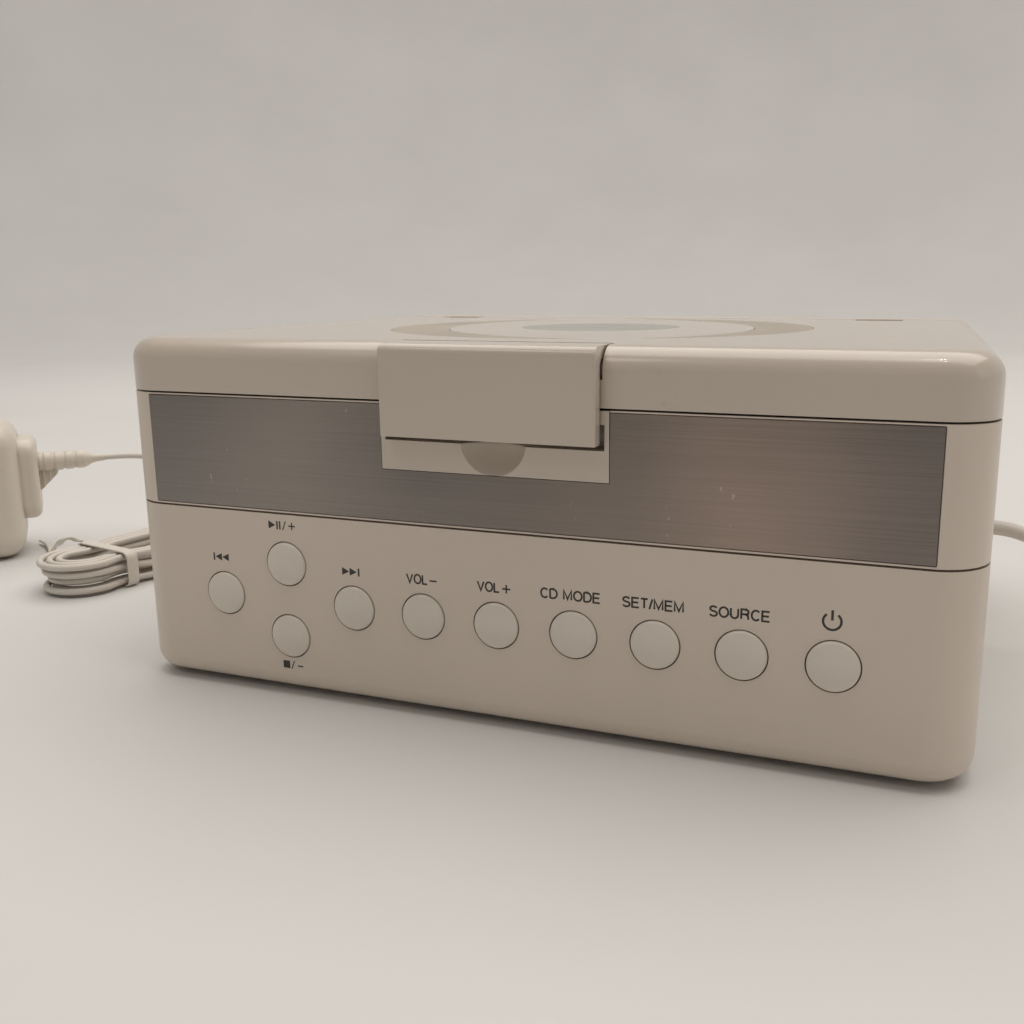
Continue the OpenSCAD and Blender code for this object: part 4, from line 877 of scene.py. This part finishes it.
def slash(x, z, w, h, t):
    return [(x - w / 2 - t / 2, z - h / 2), (x - w / 2 + t / 2, z - h / 2), (x + w / 2 + t / 2, z + h / 2),
        (x + w / 2 - t / 2, z + h / 2)]


def print_legends():
    z0, z1 = 32.05, 34.5
    words("legend_volume_down", "VOL", -21.46, -16.0, z0, z1)
    words("legend_volume_up", "VOL", -3.86, 1.6, z0, z1)
    words("legend_mode", "CD MODE", 11.0, 24.77, z0, z1)
    words("legend_memory", "SET/MEM", 29.38, 42.77, z0, z1)
    words("legend_source", "SOURCE", 47.72, 60.15, z0, z1)
    z = 33.15
    ink_piece("legend_signs", [bar(-14.7, z, 1.8, 0.4), bar(3.1, z, 1.9, 0.4), bar(3.1, z + 0.58, 0.4, 0.76),
        bar(3.1, z - 0.58, 0.4, 0.76)])
    z = 33.55
    ink_piece("legend_previous", [bar(-74.3, z, 0.45, 1.9), arrow(-73.0, z, 1.9, 1.9, -1),
        arrow(-71.0, z, 1.9, 1.9, -1)])
    z = 33.3
    ink_piece("legend_next", [arrow(-37.3, z, 1.9, 1.9), arrow(-35.3, z, 1.9, 1.9),
        bar(-33.85, z, 0.45, 1.9)])
    z = 42.85
    ink_piece("legend_play", [arrow(-56.9, z, 1.9, 2.0), bar(-55.45, z, 0.42, 2.0), bar(-54.7, z, 0.42, 2.0),
        slash(-53.5, z, 0.9, 2.2, 0.3), bar(-51.4, z, 1.8, 0.34), bar(-51.4, z + 0.52, 0.34, 0.7),
        bar(-51.4, z - 0.52, 0.34, 0.7)])
    z = 8.1
    ink_piece("legend_stop", [bar(-55.2, z, 1.9, 1.9), slash(-53.4, z, 0.9, 2.2, 0.3),
        bar(-51.3, z - 0.1, 1.5, 0.36)])
    shapes = [bar(71.9, 35.0, 0.5, 2.1)]
    for k in range(22):
        a, b = (math.radians(128 + 284 * (k + e) / 22) for e in (0, 1))
        shapes.append([(71.9 + r * math.cos(c), 33.75 + r * math.sin(c))
            for r, c in ((1.5, a), (1.98, a), (1.98, b), (1.5, b))])
    ink_piece("legend_power", shapes)


print_legends()


# Floor and light
def make_stage():
    """Round pale floor that curves up into a low wall, in metres."""
    profile = [(0.0, 0.0), (0.6, 0.0), (1.3, 0.0)]
    profile += [(1.3 + 0.8 * math.sin(math.radians(a)), 0.8 - 0.8 * math.cos(math.radians(a)))
        for a in range(10, 91, 10)]
    profile.append((2.1, 1.7))
    verts, faces = turned(profile, 96)
    data = bpy.data.meshes.new("floor")
    data.from_pydata(verts, [], faces)
    data.polygons.foreach_set("use_smooth", [True] * len(faces))
    t = Tree("pale_floor")
    slow = t.noise(4, 4)
    fine = t.noise(600, 4, 0.7)
    base = t.mix(t.span(slow, 0.0, 1.0), (0.66, 0.65, 0.635), (0.7, 0.69, 0.675))
    data.materials.append(t.finish(base, t.span(fine, 0.6, 0.75), t.bump(fine, 0.05, 0.0002)))
    floor = bpy.data.objects.new("floor", data)
    scene.collection.objects.link(floor)


def area_light(name, place, target, size, power, colour):
    data = bpy.data.lights.new(name, "AREA")
    data.shape = "RECTANGLE"
    data.size, data.size_y = size
    data.energy = power
    data.color = colour
    lamp = bpy.data.objects.new(name, data)
    scene.collection.objects.link(lamp)
    lamp.location = place
    lamp.rotation_mode = "QUATERNION"
    lamp.rotation_quaternion = (Vector(target) - Vector(place)).to_track_quat("-Z", "Y")


def make_light():
    area_light("ceiling", (0.1, 0.42, 1.42), (0.1, 0.42, 0), (2.4, 1.7), 27, (1.0, 0.955, 0.9))
    area_light("right_fill", (1.25, -0.35, 0.5), (0.05, 0, 0.04), (0.7, 0.6), 0.6, (1.0, 0.96, 0.92))
    area_light("front_key", (-0.45, -0.75, 1.0), (0, -0.05, 0.04), (0.35, 0.3), 1.1, (1.0, 0.95, 0.9))
    warm = (1.0, 0.96, 0.9)
    area_light("lamp_a", (0.115, -0.144, 0.982), (0.09, -0.076, 0.085), (0.03, 0.012), 0.2, warm)
    area_light("lamp_b", (0.128, -0.278, 0.961), (0.092, -0.076, 0.084), (0.018, 0.008), 0.1, warm)
    world = bpy.data.worlds.new("soft_room")
    world.use_nodes = True
    background = world.node_tree.nodes["Background"]
    background.inputs["Color"].default_value = (1.0, 0.97, 0.94, 1.0)
    background.inputs["Strength"].default_value = 0.14
    scene.world = world


make_stage()
make_light()
scene.view_settings.view_transform = "Standard"
